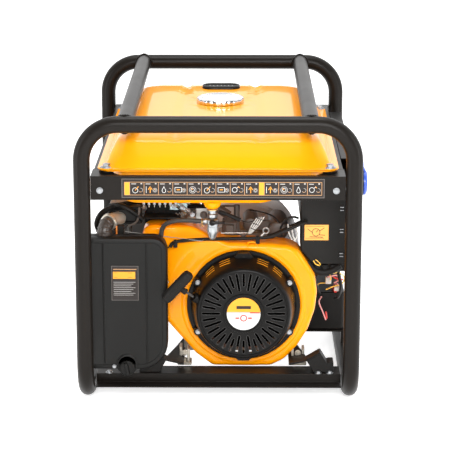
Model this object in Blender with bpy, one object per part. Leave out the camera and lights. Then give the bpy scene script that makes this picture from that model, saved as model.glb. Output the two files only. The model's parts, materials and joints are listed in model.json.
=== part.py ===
"""Open-frame portable generator: tube cradle, fuel tank, engine, recoil starter, alternator, panel.

Metres, +Z up.  The engine and recoil end faces -Y, the control panel faces +X.
All pieces hang from one empty whose X offset puts the overall box's centre at the world origin.
"""
import math

import bmesh
import bpy
from mathutils import Matrix, Vector

# ---------------------------------------------------------------- driving dimensions
FRAME_WIDTH = 0.545
FRAME_LENGTH = 0.750
FRAME_HEIGHT = 0.570
TUBE_R = 0.016
BEND_R = 0.069
GAP = 0.0003
SHEET = 0.0025
TUBE_SIDES = 12

LEG_X = FRAME_WIDTH / 2 - TUBE_R
HOOP_Y = FRAME_LENGTH / 2 - TUBE_R
TOP_Z = FRAME_HEIGHT - TUBE_R
RAIL_X = 0.175

BEAM_Y = 0.281
BEAM_TOP = 0.045
BRACKET_TOP = 0.456
BRACKET_LOW = 0.410
FLANGE_Z = 0.4630

SHAFT_X = 0.049
SHAFT_Z = 0.176
SHAFT_R = 0.0125
ALTERNATOR_R = 0.095
STATOR_R = 0.1220
RECOIL_FACE_Y = -0.330
RECOIL_BACK_Y = -0.2683
SHROUD_FRONT_Y = -0.268
SHROUD_BACK_Y = -0.205
CASE_FRONT_Y = -0.200
CASE_BACK_Y = -0.030

CAP_X = 0.0
CAP_Y = 0.030
TANK_TOP = 0.5230
VALVE_X = -0.0118
VALVE_Y = -0.285

BOX_LEFT = -0.2605
BOX_RIGHT = -0.0981
BOX_LOW = 0.0595
BOX_HIGH = 0.3255
BOX_FRONT_Y = -0.326
BOX_SPLIT_Y = -0.2995
BOX_BACK_Y = -0.279

PANEL_X = 0.2650
SOCKET_REACH = 0.0250
SOCKET_Z = 0.385
SOCKET_R = 0.026
SOCKETS_Y = (-0.105, 0.005)

PULL_AXIS = Vector((-0.7076, -0.3963, 0.5850)).normalized()
GRIP_CENTRE = Vector((-0.0784, -0.3410, 0.2335))
EYELET = GRIP_CENTRE - 0.0417 * PULL_AXIS

for leftover in list(bpy.data.objects):
    bpy.data.objects.remove(leftover, do_unlink=True)

origin = bpy.data.objects.new("generator_origin", None)
origin.location = (-SOCKET_REACH / 2, 0, 0)
bpy.context.scene.collection.objects.link(origin)


# ---------------------------------------------------------------- materials
def finish(name, colour, roughness, metallic=0.0):
    material = bpy.data.materials.new(name)
    material.use_nodes = True
    shader = material.node_tree.nodes["Principled BSDF"]
    shader.inputs["Base Color"].default_value = (*colour, 1.0)
    shader.inputs["Roughness"].default_value = roughness
    shader.inputs["Metallic"].default_value = metallic
    return material


FRAME_PAINT = finish("frame_paint", (0.045, 0.043, 0.040), 0.55)
TANK_PAINT = finish("tank_paint", (0.90, 0.42, 0.01), 0.25)
SHROUD_PAINT = finish("shroud_paint", (0.90, 0.36, 0.01), 0.35)
BLACK_PLASTIC = finish("black_plastic", (0.030, 0.030, 0.032), 0.6)
RUBBER = finish("rubber", (0.015, 0.015, 0.015), 0.8)
CAST_ALLOY = finish("cast_alloy", (0.55, 0.54, 0.52), 0.45, 0.9)
STEEL = finish("steel", (0.50, 0.50, 0.50), 0.35, 1.0)
CHROME = finish("chrome", (0.80, 0.80, 0.82), 0.08, 1.0)
BLUE_PLASTIC = finish("blue_plastic", (0.03, 0.18, 0.65), 0.4)
GREY_PLASTIC = finish("grey_plastic", (0.25, 0.26, 0.27), 0.5)
CLEAR_PLASTIC = finish("clear_plastic", (0.80, 0.84, 0.84), 0.15)
FOAM = finish("foam", (0.75, 0.62, 0.30), 0.9)
MUFFLER_PAINT = finish("muffler_paint", (0.030, 0.028, 0.028), 0.65, 0.2)
COPPER = finish("copper", (0.70, 0.33, 0.16), 0.4, 1.0)


# ---------------------------------------------------------------- shape makers
def mesh_object(name, bm, material, pivot=(0, 0, 0), turn=None):
    """Turns a bmesh in frame coordinates into an object whose origin is the pivot."""
    bmesh.ops.recalc_face_normals(bm, faces=bm.faces)
    bmesh.ops.translate(bm, verts=bm.verts, vec=-Vector(pivot))
    mesh = bpy.data.meshes.new(name)
    bm.to_mesh(mesh)
    bm.free()
    mesh.shade_smooth()
    mesh.set_sharp_from_angle(angle=math.radians(35))
    mesh.materials.append(material)
    thing = bpy.data.objects.new(name, mesh)
    thing.location = pivot
    thing.parent = origin
    bpy.context.scene.collection.objects.link(thing)
    return thing


def loft(name, loops, material, ring=False, pivot=(0, 0, 0)):
    """Skins equal-length loops; the ends are capped, or joined to each other for a ring."""
    bm = bmesh.new()
    rows = [[bm.verts.new(point) for point in loop] for loop in loops]
    count = len(rows[0])
    pairs = list(zip(rows, rows[1:]))
    if ring:
        pairs.append((rows[-1], rows[0]))
    for low, high in pairs:
        for i in range(count):
            j = (i + 1) % count
            bm.faces.new((low[i], low[j], high[j], high[i]))
    if not ring:
        bm.faces.new(rows[0])
        bm.faces.new(rows[-1])
    return mesh_object(name, bm, material, pivot)


def place(axis, u, v, h):
    """Puts a 2D point (u, v) at height h along the named axis."""
    if axis == "x":
        return Vector((h, u, v))
    if axis == "y":
        return Vector((u, h, v))
    return Vector((u, v, h))


def prism(name, outline, axis, low, high, material, pivot=(0, 0, 0)):
    loops = [[place(axis, u, v, h) for u, v in outline] for h in (low, high)]
    return loft(name, loops, material, pivot=pivot)


def block(name, low, high, material, pivot=(0, 0, 0)):
    outline = [(low[0], low[1]), (high[0], low[1]), (high[0], high[1]), (low[0], high[1])]
    return prism(name, outline, "z", low[2], high[2], material, pivot)


def circle(u, v, radius, sides, start=0.0):
    angles = [start + math.tau * i / sides for i in range(sides)]
    return [(u + radius * math.cos(a), v + radius * math.sin(a)) for a in angles]


def turned(name, profile, centre, axis, material, sides=24, ring=False, pivot=None):
    """Turns (radius, height) pairs about an axis through the 2D centre."""
    loops = [[place(axis, u, v, h) for u, v in circle(*centre, r, sides)] for r, h in profile]
    return loft(name, loops, material, ring, pivot or (0, 0, 0))


def rounded(u0, u1, v0, v1, radius, steps=4):
    """Outline of a rectangle with rounded corners; radius is one value or one for each corner."""
    radii = radius if isinstance(radius, (tuple, list)) else [radius] * 4
    corners = ((u1, v1, 0), (u0, v1, 90), (u0, v0, 180), (u1, v0, 270))
    signs = ((-1, -1), (1, -1), (1, 1), (-1, 1))
    points = []
    for (u, v, start), (su, sv), r in zip(corners, signs, radii):
        for step in range(steps + 1):
            a = math.radians(start + 90 * step / steps)
            points.append((u + su * r + r * math.cos(a), v + sv * r + r * math.sin(a)))
    return points


def shrink(outline, amount):
    """Moves an outline's points inwards by about the given amount."""
    count = len(outline)
    result = []
    for i, (u, v) in enumerate(outline):
        before = Vector(outline[i - 1])
        after = Vector(outline[(i + 1) % count])
        along = (after - before).normalized()
        result.append((u - along.y * amount, v + along.x * amount))
    return result


def rod(name, start, end, radius, material, sides=12, pivot=(0, 0, 0)):
    return tube(name, [Vector(start), Vector(end)], radius, material, sides, pivot)


def tube(name, points, radius, material, sides=TUBE_SIDES, pivot=(0, 0, 0)):
    """Sweeps a regular polygon along a path, carrying its frame without twist."""
    points = [Vector(p) for p in points]
    tangents = []
    for i in range(len(points)):
        ahead = points[min(i + 1, len(points) - 1)]
        behind = points[max(i - 1, 0)]
        tangents.append((ahead - behind).normalized())
    guide = Vector((0, 0, 1)) if abs(tangents[0].z) < 0.9 else Vector((1, 0, 0))
    side = tangents[0].cross(guide).normalized()
    loops = []
    for i, (point, tangent) in enumerate(zip(points, tangents)):
        if i:
            side = tangents[i - 1].rotation_difference(tangent) @ side
        other = tangent.cross(side)
        loop = []
        for k in range(sides):
            a = math.tau * k / sides
            loop.append(point + radius * (side * math.cos(a) + other * math.sin(a)))
        loops.append(loop)
    return loft(name, loops, material, pivot=pivot)


def bend(corner, before, after, radius, steps=6):
    """Points of a round bend at a corner between two perpendicular unit directions."""
    corner = Vector(corner)
    before = Vector(before)
    after = Vector(after)
    centre = corner - before * radius + after * radius
    points = []
    for step in range(steps + 1):
        a = math.radians(90 * step / steps)
        points.append(centre - after * radius * math.cos(a) + before * radius * math.sin(a))
    return points


def smooth_path(points, per_span=4):
    """Catmull-Rom curve through hand-placed points."""
    points = [Vector(p) for p in points]
    ends = [2 * points[0] - points[1]] + points + [2 * points[-1] - points[-2]]
    result = []
    for i in range(1, len(ends) - 2):
        a, b, c, d = ends[i - 1:i + 3]
        for step in range(per_span):
            t = step / per_span
            cubic = (3 * b - a - 3 * c + d) * t ** 3 + (2 * a - 5 * b + 4 * c - d) * t ** 2
            result.append(0.5 * (cubic + (c - a) * t + 2 * b))
    result.append(points[-1])
    return result


def combine(target, tool, operation="DIFFERENCE"):
    """Cuts the target with the tool, or joins the tool to it; the tool is hidden."""
    tool.hide_render = True
    tool.display_type = "WIRE"
    modifier = target.modifiers.new(tool.name, "BOOLEAN")
    modifier.operation = operation
    modifier.object = tool


def mirrored(points, about):
    return [(2 * about - u, v) for u, v in reversed(points)]


# ---------------------------------------------------------------- tube frame
def hoop(name, face):
    """One bent tube: half of each floor rail, both legs and the top bar.  face is -1 or +1."""
    y = face * HOOP_Y
    outward = Vector((0, face, 0))
    up = Vector((0, 0, 1))
    right = Vector((1, 0, 0))
    path = [Vector((-LEG_X, face * GAP, TUBE_R))]
    path += bend((-LEG_X, y, TUBE_R), outward, up, BEND_R)
    path += bend((-LEG_X, y, TOP_Z), up, right, BEND_R)
    path += bend((LEG_X, y, TOP_Z), right, -up, BEND_R)
    path += bend((LEG_X, y, TUBE_R), -up, -outward, BEND_R)
    path.append(Vector((LEG_X, face * GAP, TUBE_R)))
    return tube(name, path, TUBE_R, FRAME_PAINT)


def top_rail(name, x):
    """Straight tube whose ends are coped to sit against both top bars."""
    bm = bmesh.new()
    rows = []
    for face in (-1, 1):
        row = []
        for u, v in circle(x, TOP_Z, TUBE_R, TUBE_SIDES):
            reach = math.sqrt((TUBE_R + 2 * GAP) ** 2 - (v - TOP_Z) ** 2)
            row.append(bm.verts.new((u, face * (HOOP_Y - reach), v)))
        rows.append(row)
    for i in range(TUBE_SIDES):
        j = (i + 1) % TUBE_SIDES
        bm.faces.new((rows[0][i], rows[0][j], rows[1][j], rows[1][i]))
    # Each end is closed by level strips, so that it keeps the saddle's hollow.
    quarter = TUBE_SIDES // 4
    half = TUBE_SIDES // 2
    for row in rows:
        for step in range(-quarter, quarter):
            strip = (row[step], row[step + 1], row[half - step - 1], row[half - step])
            bm.faces.new(dict.fromkeys(strip))
    return mesh_object(name, bm, FRAME_PAINT)


def crossbeam(name, face):
    """Hat-section floor beam between the two floor rails."""
    half, web, low, top = 0.050, 0.024, 0.0245, BEAM_TOP
    t = 0.003
    hat = [(-half, low), (-half, low + t), (-web, low + t), (-web, top), (web, top), (web, low + t),
           (half, low + t), (half, low), (web - t, low), (web - t, top - t), (-web + t, top - t),
           (-web + t, low)]
    outline = [(face * BEAM_Y + u, v) for u, v in hat]
    reach = LEG_X - TUBE_R - 0.0005
    return prism(name, outline, "x", -reach, reach, FRAME_PAINT)


def tank_bracket(name, face):
    """Folded plate across the legs; its top lip widens into a seat at each tank mount."""
    outer = face * 0.3635
    reach = LEG_X - TUBE_R - 0.0005
    lip = 0.012
    seat = 0.0635
    inner_plate = outer - face * SHEET
    bracket = block(name, (-reach, min(outer, inner_plate), BRACKET_LOW),
                    (reach, max(outer, inner_plate), BRACKET_TOP), FRAME_PAINT)
    seat_y = outer - face * seat
    lip_y = outer - face * lip
    start_y = outer - face * 0.001
    notch_y = outer - face * 0.0535
    plan = [(-reach, start_y), (reach, start_y), (reach, seat_y), (0.2125, seat_y), (0.2125, notch_y),
            (0.1850, lip_y), (-0.1850, lip_y), (-0.2125, notch_y), (-0.2125, seat_y), (-reach, seat_y)]
    top = prism(name + "_top_lip", plan, "z", BRACKET_TOP - SHEET, BRACKET_TOP - 0.0002, FRAME_PAINT)
    foot = block(name + "_low_lip", (-reach, min(start_y, lip_y), BRACKET_LOW + 0.0002),
                 (reach, max(start_y, lip_y), BRACKET_LOW + SHEET), FRAME_PAINT)
    combine(bracket, top, "UNION")
    combine(bracket, foot, "UNION")
    return bracket


def side_rail(name, side):
    """Steel angle beside the tank, between the two tank brackets."""
    outer, inner, low, top = 0.2380, 0.2120, 0.4300, BRACKET_TOP
    angle = [(inner, top), (inner, top - SHEET), (outer - SHEET, top - SHEET), (outer - SHEET, low),
             (outer, low), (outer, top)]
    outline = [(side * u, v) for u, v in angle]
    reach = 0.3000 - GAP
    return prism(name, outline, "y", -reach, reach, FRAME_PAINT)


hoop("front_hoop", -1)
hoop("rear_hoop", 1)
top_rail("top_rail_left", -RAIL_X)
top_rail("top_rail_right", RAIL_X)
crossbeam("front_crossbeam", -1)
crossbeam("rear_crossbeam", 1)
tank_bracket("front_tank_bracket", -1)
tank_bracket("rear_tank_bracket", 1)
side_rail("side_rail_left", -1)
side_rail("side_rail_right", 1)


# ---------------------------------------------------------------- fuel tank
def tank_upper_shell():
    """Pressed upper half with the filler neck brazed in; open underneath."""
    wall = 0.0020
    flange = rounded(-0.2285, 0.2285, -0.3440, 0.2750, 0.030)
    base = rounded(-0.2120, 0.2120, -0.3400, 0.2640, 0.040)
    shoulder = rounded(-0.1800, 0.1800, -0.3000, 0.2480, 0.040)
    crown = rounded(-0.1640, 0.1640, -0.2750, 0.2350, 0.040)
    sections = [(flange, FLANGE_Z), (flange, FLANGE_Z + 0.0025), (base, FLANGE_Z + 0.0026),
                (shoulder, 0.5080), (crown, TANK_TOP)]
    shell = loft("tank_upper_shell", [[Vector((u, v, z)) for u, v in plan] for plan, z in sections],
                 TANK_PAINT)
    neck = turned("neck_outside", [(0.0362, 0.5000), (0.0362, 0.5290)], (CAP_X, CAP_Y), "z", STEEL)
    inside = [(base, FLANGE_Z - 0.01), (base, FLANGE_Z + 0.0006), (shoulder, 0.5060),
              (crown, TANK_TOP - wall)]
    hollow = loft("tank_upper_hollow",
                  [[Vector((u, v, z)) for u, v in shrink(plan, wall)] for plan, z in inside], STEEL)
    neck_tube = turned("neck_tube", [(0.0362, 0.4950), (0.0362, 0.5240)], (CAP_X, CAP_Y), "z", STEEL)
    bore = turned("neck_bore", [(0.0325, 0.48), (0.0325, 0.54)], (CAP_X, CAP_Y), "z", STEEL)
    gauge_hole = turned("gauge_hole", [(0.0163, 0.51), (0.0163, 0.53)], (0.0, 0.185), "z", STEEL, 12)
    combine(shell, neck, "UNION")
    combine(shell, hollow)
    combine(shell, neck_tube, "UNION")
    combine(shell, bore)
    combine(shell, gauge_hole)


def tank_lower_shell():
    """Pressed lower half: shallow pan, deeper sump on the carburettor side, outlet boss."""
    wall = 0.0020
    top = FLANGE_Z - GAP
    flange = rounded(-0.2285, 0.2285, -0.3440, 0.2750, 0.030)
    rim = rounded(-0.2080, 0.2080, -0.3420, 0.2620, 0.040)
    floor = rounded(-0.1900, 0.1900, -0.3250, 0.2480, 0.040)
    pan = [(flange, top), (flange, top - 0.0025), (rim, top - 0.0026), (floor, 0.4160)]
    shell = loft("tank_lower_shell", [[Vector((u, v, z)) for u, v in plan] for plan, z in pan],
                 TANK_PAINT)
    sump_top = rounded(-0.1800, 0.1200, -0.3200, 0.2200, 0.030)
    sump_low = rounded(-0.1600, 0.0620, -0.3080, 0.2050, 0.030)
    sump_levels = [(sump_top, 0.4170), (sump_low, 0.3900)]
    sump = loft("sump_outside", [[Vector((u, v, z)) for u, v in plan] for plan, z in sump_levels],
                TANK_PAINT)
    boss = turned("outlet_boss", [(0.0165, 0.3910), (0.0150, 0.3800), (0.0090, 0.3745)],
                  (VALVE_X, VALVE_Y), "z", TANK_PAINT, 16)
    hollow_levels = [(rim, top + 0.01), (rim, top - 0.0006), (floor, 0.4160 + wall)]
    hollow = loft("pan_hollow",
                  [[Vector((u, v, z)) for u, v in shrink(plan, wall)] for plan, z in hollow_levels],
                  STEEL)
    sump_hollow_levels = [(sump_top, 0.4230), (sump_top, 0.4170), (sump_low, 0.3900 + wall)]
    sump_hollow = loft("sump_hollow",
                       [[Vector((u, v, z)) for u, v in shrink(plan, wall)]
                        for plan, z in sump_hollow_levels], STEEL)
    combine(shell, sump, "UNION")
    combine(shell, boss, "UNION")
    combine(shell, hollow)
    combine(shell, sump_hollow)


tank_upper_shell()
tank_lower_shell()

# The cap's gasket plugs the neck; the chromed cap turns on it, and both lift together.
cap_centre = (CAP_X, CAP_Y)
turned("cap_gasket", [(0.0300, 0.5150), (0.0300, 0.5293), (0.0352, 0.5293), (0.0352, 0.5358)],
       cap_centre, "z", RUBBER, pivot=(CAP_X, CAP_Y, 0.5293))
turned("fuel_cap", [(0.0440, 0.5376), (0.0490, 0.5345), (0.0490, 0.5240), (0.0475, 0.5240),
                    (0.0475, 0.5340), (0.0430, 0.5361)],
       cap_centre, "z", CHROME, pivot=(CAP_X, CAP_Y, 0.5300))

gauge = prism("fuel_gauge", rounded(-0.0410, 0.0410, 0.1600, 0.2100, 0.020), "z",
              TANK_TOP + GAP, TANK_TOP + 0.0095, BLACK_PLASTIC)
combine(gauge, turned("gauge_stem", [(0.0160, 0.5100), (0.0160, 0.5260)], (0.0, 0.185), "z",
                      BLACK_PLASTIC, 12), "UNION")
combine(gauge, rod("gauge_float_arm", (0.0, 0.185, 0.5105), (0.0, 0.185, 0.4200), 0.0060,
                   BLACK_PLASTIC, 8), "UNION")

# Outlet valve under the boss: nut and body, side lever, clear filter bowl, hose to the carburettor.
valve = turned("fuel_valve", [(0.0078, 0.3742), (0.0078, 0.3640), (0.0060, 0.3640), (0.0060, 0.3570),
                              (0.0125, 0.3540), (0.0125, 0.3450)], (VALVE_X, VALVE_Y), "z", CAST_ALLOY, 16)
combine(valve, rod("hose_barb", (VALVE_X - 0.005, VALVE_Y, 0.3490), (VALVE_X - 0.0215, VALVE_Y, 0.3490),
                   0.0030, CAST_ALLOY, 8), "UNION")
turned("filter_bowl", [(0.0118, 0.3447), (0.0118, 0.3300), (0.0070, 0.3160), (0.0040, 0.3130)],
       (VALVE_X, VALVE_Y), "z", CLEAR_PLASTIC, 16)
lever_hub = (VALVE_X, 0.3500)
fuel_lever = turned("fuel_valve_lever", [(0.0060, VALVE_Y - 0.0128), (0.0060, VALVE_Y - 0.0180)], lever_hub,
                    "y", BLACK_PLASTIC, 12, pivot=(VALVE_X, VALVE_Y - 0.0128, 0.3500))
combine(fuel_lever, block("lever_arm", (VALVE_X - 0.0040, VALVE_Y - 0.0175, 0.3440),
                          (VALVE_X + 0.0260, VALVE_Y - 0.0135, 0.3560), BLACK_PLASTIC), "UNION")
HOSE_ROUTE = [(VALVE_X - 0.0220, VALVE_Y, 0.3490), (-0.0500, -0.2850, 0.3505), (-0.0780, -0.2830, 0.3500),
              (-0.0985, -0.2790, 0.3435), (-0.1090, -0.2745, 0.3320), (-0.1130, -0.2735, 0.3120),
              (-0.1200, -0.2735, 0.2900), (-0.1400, -0.2735, 0.2800), (-0.1580, -0.2700, 0.2850),
              (-0.1680, -0.2550, 0.2960), (-0.1740, -0.2300, 0.3050), (-0.1760, -0.2120, 0.3140),
              (-0.1760, -0.2100, 0.3284)]
tube("fuel_hose", smooth_path(HOSE_ROUTE, 3), 0.0042, RUBBER, 8)


# ---------------------------------------------------------------- engine
CYLINDER_TILT = math.radians(35)
cylinder_out = Vector((-math.cos(CYLINDER_TILT), math.sin(CYLINDER_TILT)))
cylinder_side = Vector((math.sin(CYLINDER_TILT), math.cos(CYLINDER_TILT)))


def along_cylinder(distance, offset):
    """Point of the engine's front view, measured along and across the sloping cylinder."""
    point = Vector((SHAFT_X, SHAFT_Z)) + cylinder_out * distance + cylinder_side * offset
    return (point.x, point.y)


def slab(name, near, far, half, y0, y1, material):
    outline = [along_cylinder(near, -half), along_cylinder(near, half), along_cylinder(far, half),
               along_cylinder(far, -half)]
    return prism(name, outline, "y", y0, y1, material)


MOUNT_CENTRE = 0.035
arm = [(0.1380, 0.0600), (0.1733, 0.0685), (0.2003, 0.0850), (0.1987, 0.0876), (0.1700, 0.0702),
       (0.1380, 0.0645)]
case_outline = [(-0.0700, 0.0580), (0.1450, 0.0580), (0.1450, 0.2000), (0.1150, 0.2550),
                along_cylinder(0.070, 0.060), along_cylinder(0.070, -0.060), (-0.0700, 0.1300)]
crankcase = prism("crankcase", case_outline, "y", CASE_FRONT_Y, CASE_BACK_Y, CAST_ALLOY)
barrel = slab("barrel", 0.060, 0.150, 0.052, -0.172, -0.062, CAST_ALLOY)
crank_room = turned("crank_room", [(0.055, CASE_FRONT_Y + 0.012), (0.055, CASE_BACK_Y - 0.012)],
                    (SHAFT_X, SHAFT_Z), "y", STEEL)
combine(crankcase, barrel, "UNION")
combine(crankcase, crank_room)
combine(crankcase, prism("right_arm", arm, "y", -0.2985, -0.1200, CAST_ALLOY), "UNION")
combine(crankcase, prism("left_arm", mirrored(arm, MOUNT_CENTRE), "y", -0.2985, -0.1200, CAST_ALLOY),
        "UNION")
combine(crankcase, turned("crank_bore", [(SHAFT_R + GAP, -0.25), (SHAFT_R + GAP, 0.0)],
                          (SHAFT_X, SHAFT_Z), "y", STEEL))
slab("cylinder_head", 0.1503, 0.1900, 0.056, -0.176, -0.058, CAST_ALLOY)
slab("valve_cover", 0.1903, 0.2200, 0.046, -0.166, -0.068, CAST_ALLOY)
plug_spot = along_cylinder(0.170, 0.010)
turned("spark_plug", [(0.0100, -0.1763), (0.0100, -0.1840), (0.0065, -0.1840), (0.0065, -0.2030)],
       plug_spot, "y", STEEL, 12)

dip_spot = (-0.110, 0.095)
turned("oil_dipstick", [(0.0110, 0.1453), (0.0140, 0.1480), (0.0140, 0.1640)], dip_spot, "x",
       BLACK_PLASTIC, 12, pivot=(0.1453, *dip_spot))

# Crank line: shaft, flywheel with its fan and starter cup.
turned("crankshaft", [(SHAFT_R, -0.2600), (SHAFT_R, 0.2850)], (SHAFT_X, SHAFT_Z), "y", STEEL, 16,
       pivot=(SHAFT_X, 0.0, SHAFT_Z))
flywheel_profile = [(0.0980, -0.2050), (0.0980, -0.2400), (0.0450, -0.2440), (0.0450, -0.2640),
                    (0.0420, -0.2640), (0.0420, -0.2480), (SHAFT_R + GAP, -0.2480),
                    (SHAFT_R + GAP, -0.2050)]
turned("flywheel", flywheel_profile, (SHAFT_X, SHAFT_Z), "y", STEEL, 24, ring=True,
       pivot=(SHAFT_X, 0.0, SHAFT_Z))


def shroud_outline():
    """Front view of the fan shroud: a volute about the shaft with an arm over the cylinder."""
    right = [(0.1030, 0.0470), (0.1290, 0.0600), (0.1550, 0.0880), (0.1760, 0.1230), (0.1890, 0.1620),
             (0.1935, 0.2000), (0.1885, 0.2350), (0.1700, 0.2640), (0.1560, 0.2850), (0.1360, 0.2940)]
    top = [(0.0900, 0.2985), (0.0160, 0.3005), (-0.0540, 0.3318)]
    arm_end = []
    for degrees in (90, 120, 150, 180):
        a = math.radians(degrees)
        arm_end.append((-0.1320 + 0.018 * math.cos(a), 0.3138 + 0.018 * math.sin(a)))
    left = [(-0.1480, 0.2300), (-0.1180, 0.1580), (-0.0860, 0.1200), (-0.0450, 0.0720), (-0.0120, 0.0470)]
    return right + top + arm_end + left


outline = shroud_outline()
shroud = prism("fan_shroud", outline, "y", SHROUD_BACK_Y, SHROUD_FRONT_Y, SHROUD_PAINT)
combine(shroud, prism("shroud_hollow", shrink(outline, SHEET), "y", SHROUD_BACK_Y + 0.01,
                      SHROUD_FRONT_Y + SHEET, STEEL))
combine(shroud, turned("air_inlet", [(0.100, SHROUD_FRONT_Y - 0.01), (0.100, SHROUD_FRONT_Y + 0.01)],
                       (SHAFT_X, SHAFT_Z), "y", STEEL))

# Recoil starter: dished housing with a rope eyelet, spring-loaded pulley, rope and T grip.
recoil_profile = [(0.1110, RECOIL_BACK_Y), (0.1110, RECOIL_BACK_Y - 0.006), (0.1000, RECOIL_BACK_Y - 0.008),
                  (0.0900, RECOIL_FACE_Y + 0.006), (0.0840, RECOIL_FACE_Y), (0.0090, RECOIL_FACE_Y),
                  (0.0090, RECOIL_FACE_Y + 0.0025), (0.0820, RECOIL_FACE_Y + 0.0025),
                  (0.0872, RECOIL_FACE_Y + 0.008), (0.0970, RECOIL_BACK_Y - 0.006), (0.0970, RECOIL_BACK_Y)]
recoil = turned("recoil_housing", recoil_profile, (SHAFT_X, SHAFT_Z), "y", BLACK_PLASTIC, 32, ring=True)
combine(recoil, turned("recoil_hub", [(0.0100, RECOIL_FACE_Y + 0.0003), (0.0100, RECOIL_FACE_Y + 0.0045)],
                       (SHAFT_X, SHAFT_Z), "y", BLACK_PLASTIC, 12), "UNION")
combine(recoil, rod("eyelet_boss", EYELET - 0.026 * PULL_AXIS, EYELET, 0.0085, BLACK_PLASTIC, 12), "UNION")
PULLEY_R = 0.040
turned("recoil_pulley", [(0.0480, -0.3240), (0.0480, -0.3215), (PULLEY_R, -0.3200), (PULLEY_R, -0.3120),
                         (0.0480, -0.3105), (0.0480, -0.3080)], (SHAFT_X, SHAFT_Z), "y", BLACK_PLASTIC, 20,
       pivot=(SHAFT_X, -0.316, SHAFT_Z))

STEM = 0.0220
GRIP_HALF = 0.0375
GRIP_R = 0.0100
stem_end = GRIP_CENTRE - STEM * PULL_AXIS
grip_along = Vector((0.6488, -0.0362, 0.7601))
grip_along = (grip_along - grip_along.dot(PULL_AXIS) * PULL_AXIS).normalized()
grip_steps = [(-1.0, 0.55), (-0.88, 0.85), (-0.4, 1.0), (0.4, 1.0), (0.88, 0.85), (1.0, 0.55)]
grip_side = grip_along.cross(PULL_AXIS)
grip_loops = []
for share, thick in grip_steps:
    centre = GRIP_CENTRE + share * GRIP_HALF * grip_along
    grip_loops.append([centre + GRIP_R * thick * (math.cos(a) * PULL_AXIS + 0.85 * math.sin(a) * grip_side)
                       for a in [math.tau * i / 12 for i in range(12)]])
grip = loft("starter_grip", grip_loops, RUBBER, pivot=GRIP_CENTRE)
combine(grip, rod("grip_stem", GRIP_CENTRE, stem_end, 0.0045, RUBBER, 10), "UNION")
rod("starter_rope", stem_end - GAP * PULL_AXIS, EYELET + GAP * PULL_AXIS, 0.0025, GREY_PLASTIC, 8,
    pivot=EYELET)

# Carburettor beside the shroud, its pipe over the valve cover to the head, choke and governor levers.
head_port = Vector(along_cylinder(0.170, 0.056))
PORT = Vector((head_port.x, -0.1200, head_port.y))
PORT_OUT = Vector((cylinder_side.x, 0, cylinder_side.y))
carburetor = block("carburetor", (-0.2150, -0.2320, 0.3290), (-0.1600, -0.1800, 0.3660), CAST_ALLOY)
manifold_route = [(-0.1700, -0.2050, 0.3520), (-0.1300, -0.1800, 0.3545), (-0.0850, -0.1400, 0.3540),
                  PORT + 0.0220 * PORT_OUT]
manifold_path = smooth_path(manifold_route, 2) + [PORT + 0.0100 * PORT_OUT, PORT + 0.0006 * PORT_OUT]
combine(carburetor, tube("intake_manifold", manifold_path, 0.0100, CAST_ALLOY, 10), "UNION")
choke = turned("choke_lever", [(0.0060, 0.3663), (0.0060, 0.3685)], (-0.1800, -0.2160), "z", STEEL, 10,
               pivot=(-0.1800, -0.2160, 0.3663))
combine(choke, block("choke_arm", (-0.1830, -0.2480, 0.3665), (-0.1770, -0.2150, 0.3683), STEEL), "UNION")
governor = turned("governor_arm", [(0.0060, 0.2690), (0.0060, 0.3585)], (0.0350, -0.1900), "z", STEEL, 10,
                  pivot=(0.0350, -0.1900, 0.2690))
combine(governor, block("governor_blade", (-0.0250, -0.1930, 0.3545), (0.0360, -0.1870, 0.3575), STEEL),
        "UNION")
ELBOW_ROUTE = [(-0.2200, -0.3000, 0.3260), (-0.2200, -0.3000, 0.3330), (-0.2170, -0.2930, 0.3440),
               (-0.2080, -0.2780, 0.3480), (-0.1950, -0.2580, 0.3480), (-0.1880, -0.2400, 0.3475)]
elbow = tube("intake_elbow", smooth_path(ELBOW_ROUTE, 2)[1:], 0.0130, CAST_ALLOY, 12)
combine(elbow, block("carb_flange", (-0.2120, -0.2400, 0.3310), (-0.1630, -0.2323, 0.3640), CAST_ALLOY),
        "UNION")
combine(elbow, turned("elbow_stub", [(0.0150, 0.3258), (0.0150, 0.3360)], (-0.2200, -0.2990), "z", CAST_ALLOY,
                      12), "UNION")

# Air box: flat front cover, deeper rear half with a raised floor, pleated element, locking knob.
cover_outline = rounded(BOX_LEFT, BOX_RIGHT, BOX_LOW, BOX_HIGH, (0.028, 0.008, 0.008, 0.055), 5)
cover = prism("air_box_cover", cover_outline, "y", BOX_SPLIT_Y, BOX_FRONT_Y, BLACK_PLASTIC)
combine(cover, prism("cover_hollow", shrink(cover_outline, SHEET), "y", BOX_SPLIT_Y + 0.01,
                     BOX_FRONT_Y + SHEET, STEEL))
base_outline = rounded(BOX_LEFT, BOX_RIGHT, 0.1000, BOX_HIGH, (0.028, 0.008, 0.008, 0.030), 5)
base = prism("air_box_base", base_outline, "y", BOX_SPLIT_Y + GAP, BOX_BACK_Y, BLACK_PLASTIC)
combine(base, prism("base_hollow", shrink(base_outline, SHEET), "y", BOX_SPLIT_Y - 0.01,
                    BOX_BACK_Y - SHEET, STEEL))
prism("air_filter", rounded(-0.2500, -0.1100, 0.1150, 0.3120, 0.010, 2), "y", -0.3180, -0.2860, FOAM)
KNOB_CENTRE = (-0.1780, 0.0640)
knob = turned("air_box_knob", [(0.0155, BOX_FRONT_Y - GAP), (0.0155, BOX_FRONT_Y - 0.0050),
                               (0.0140, BOX_FRONT_Y - 0.0065)], KNOB_CENTRE, "y", BLACK_PLASTIC, 16,
              pivot=(KNOB_CENTRE[0], BOX_FRONT_Y, KNOB_CENTRE[1]))
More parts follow.
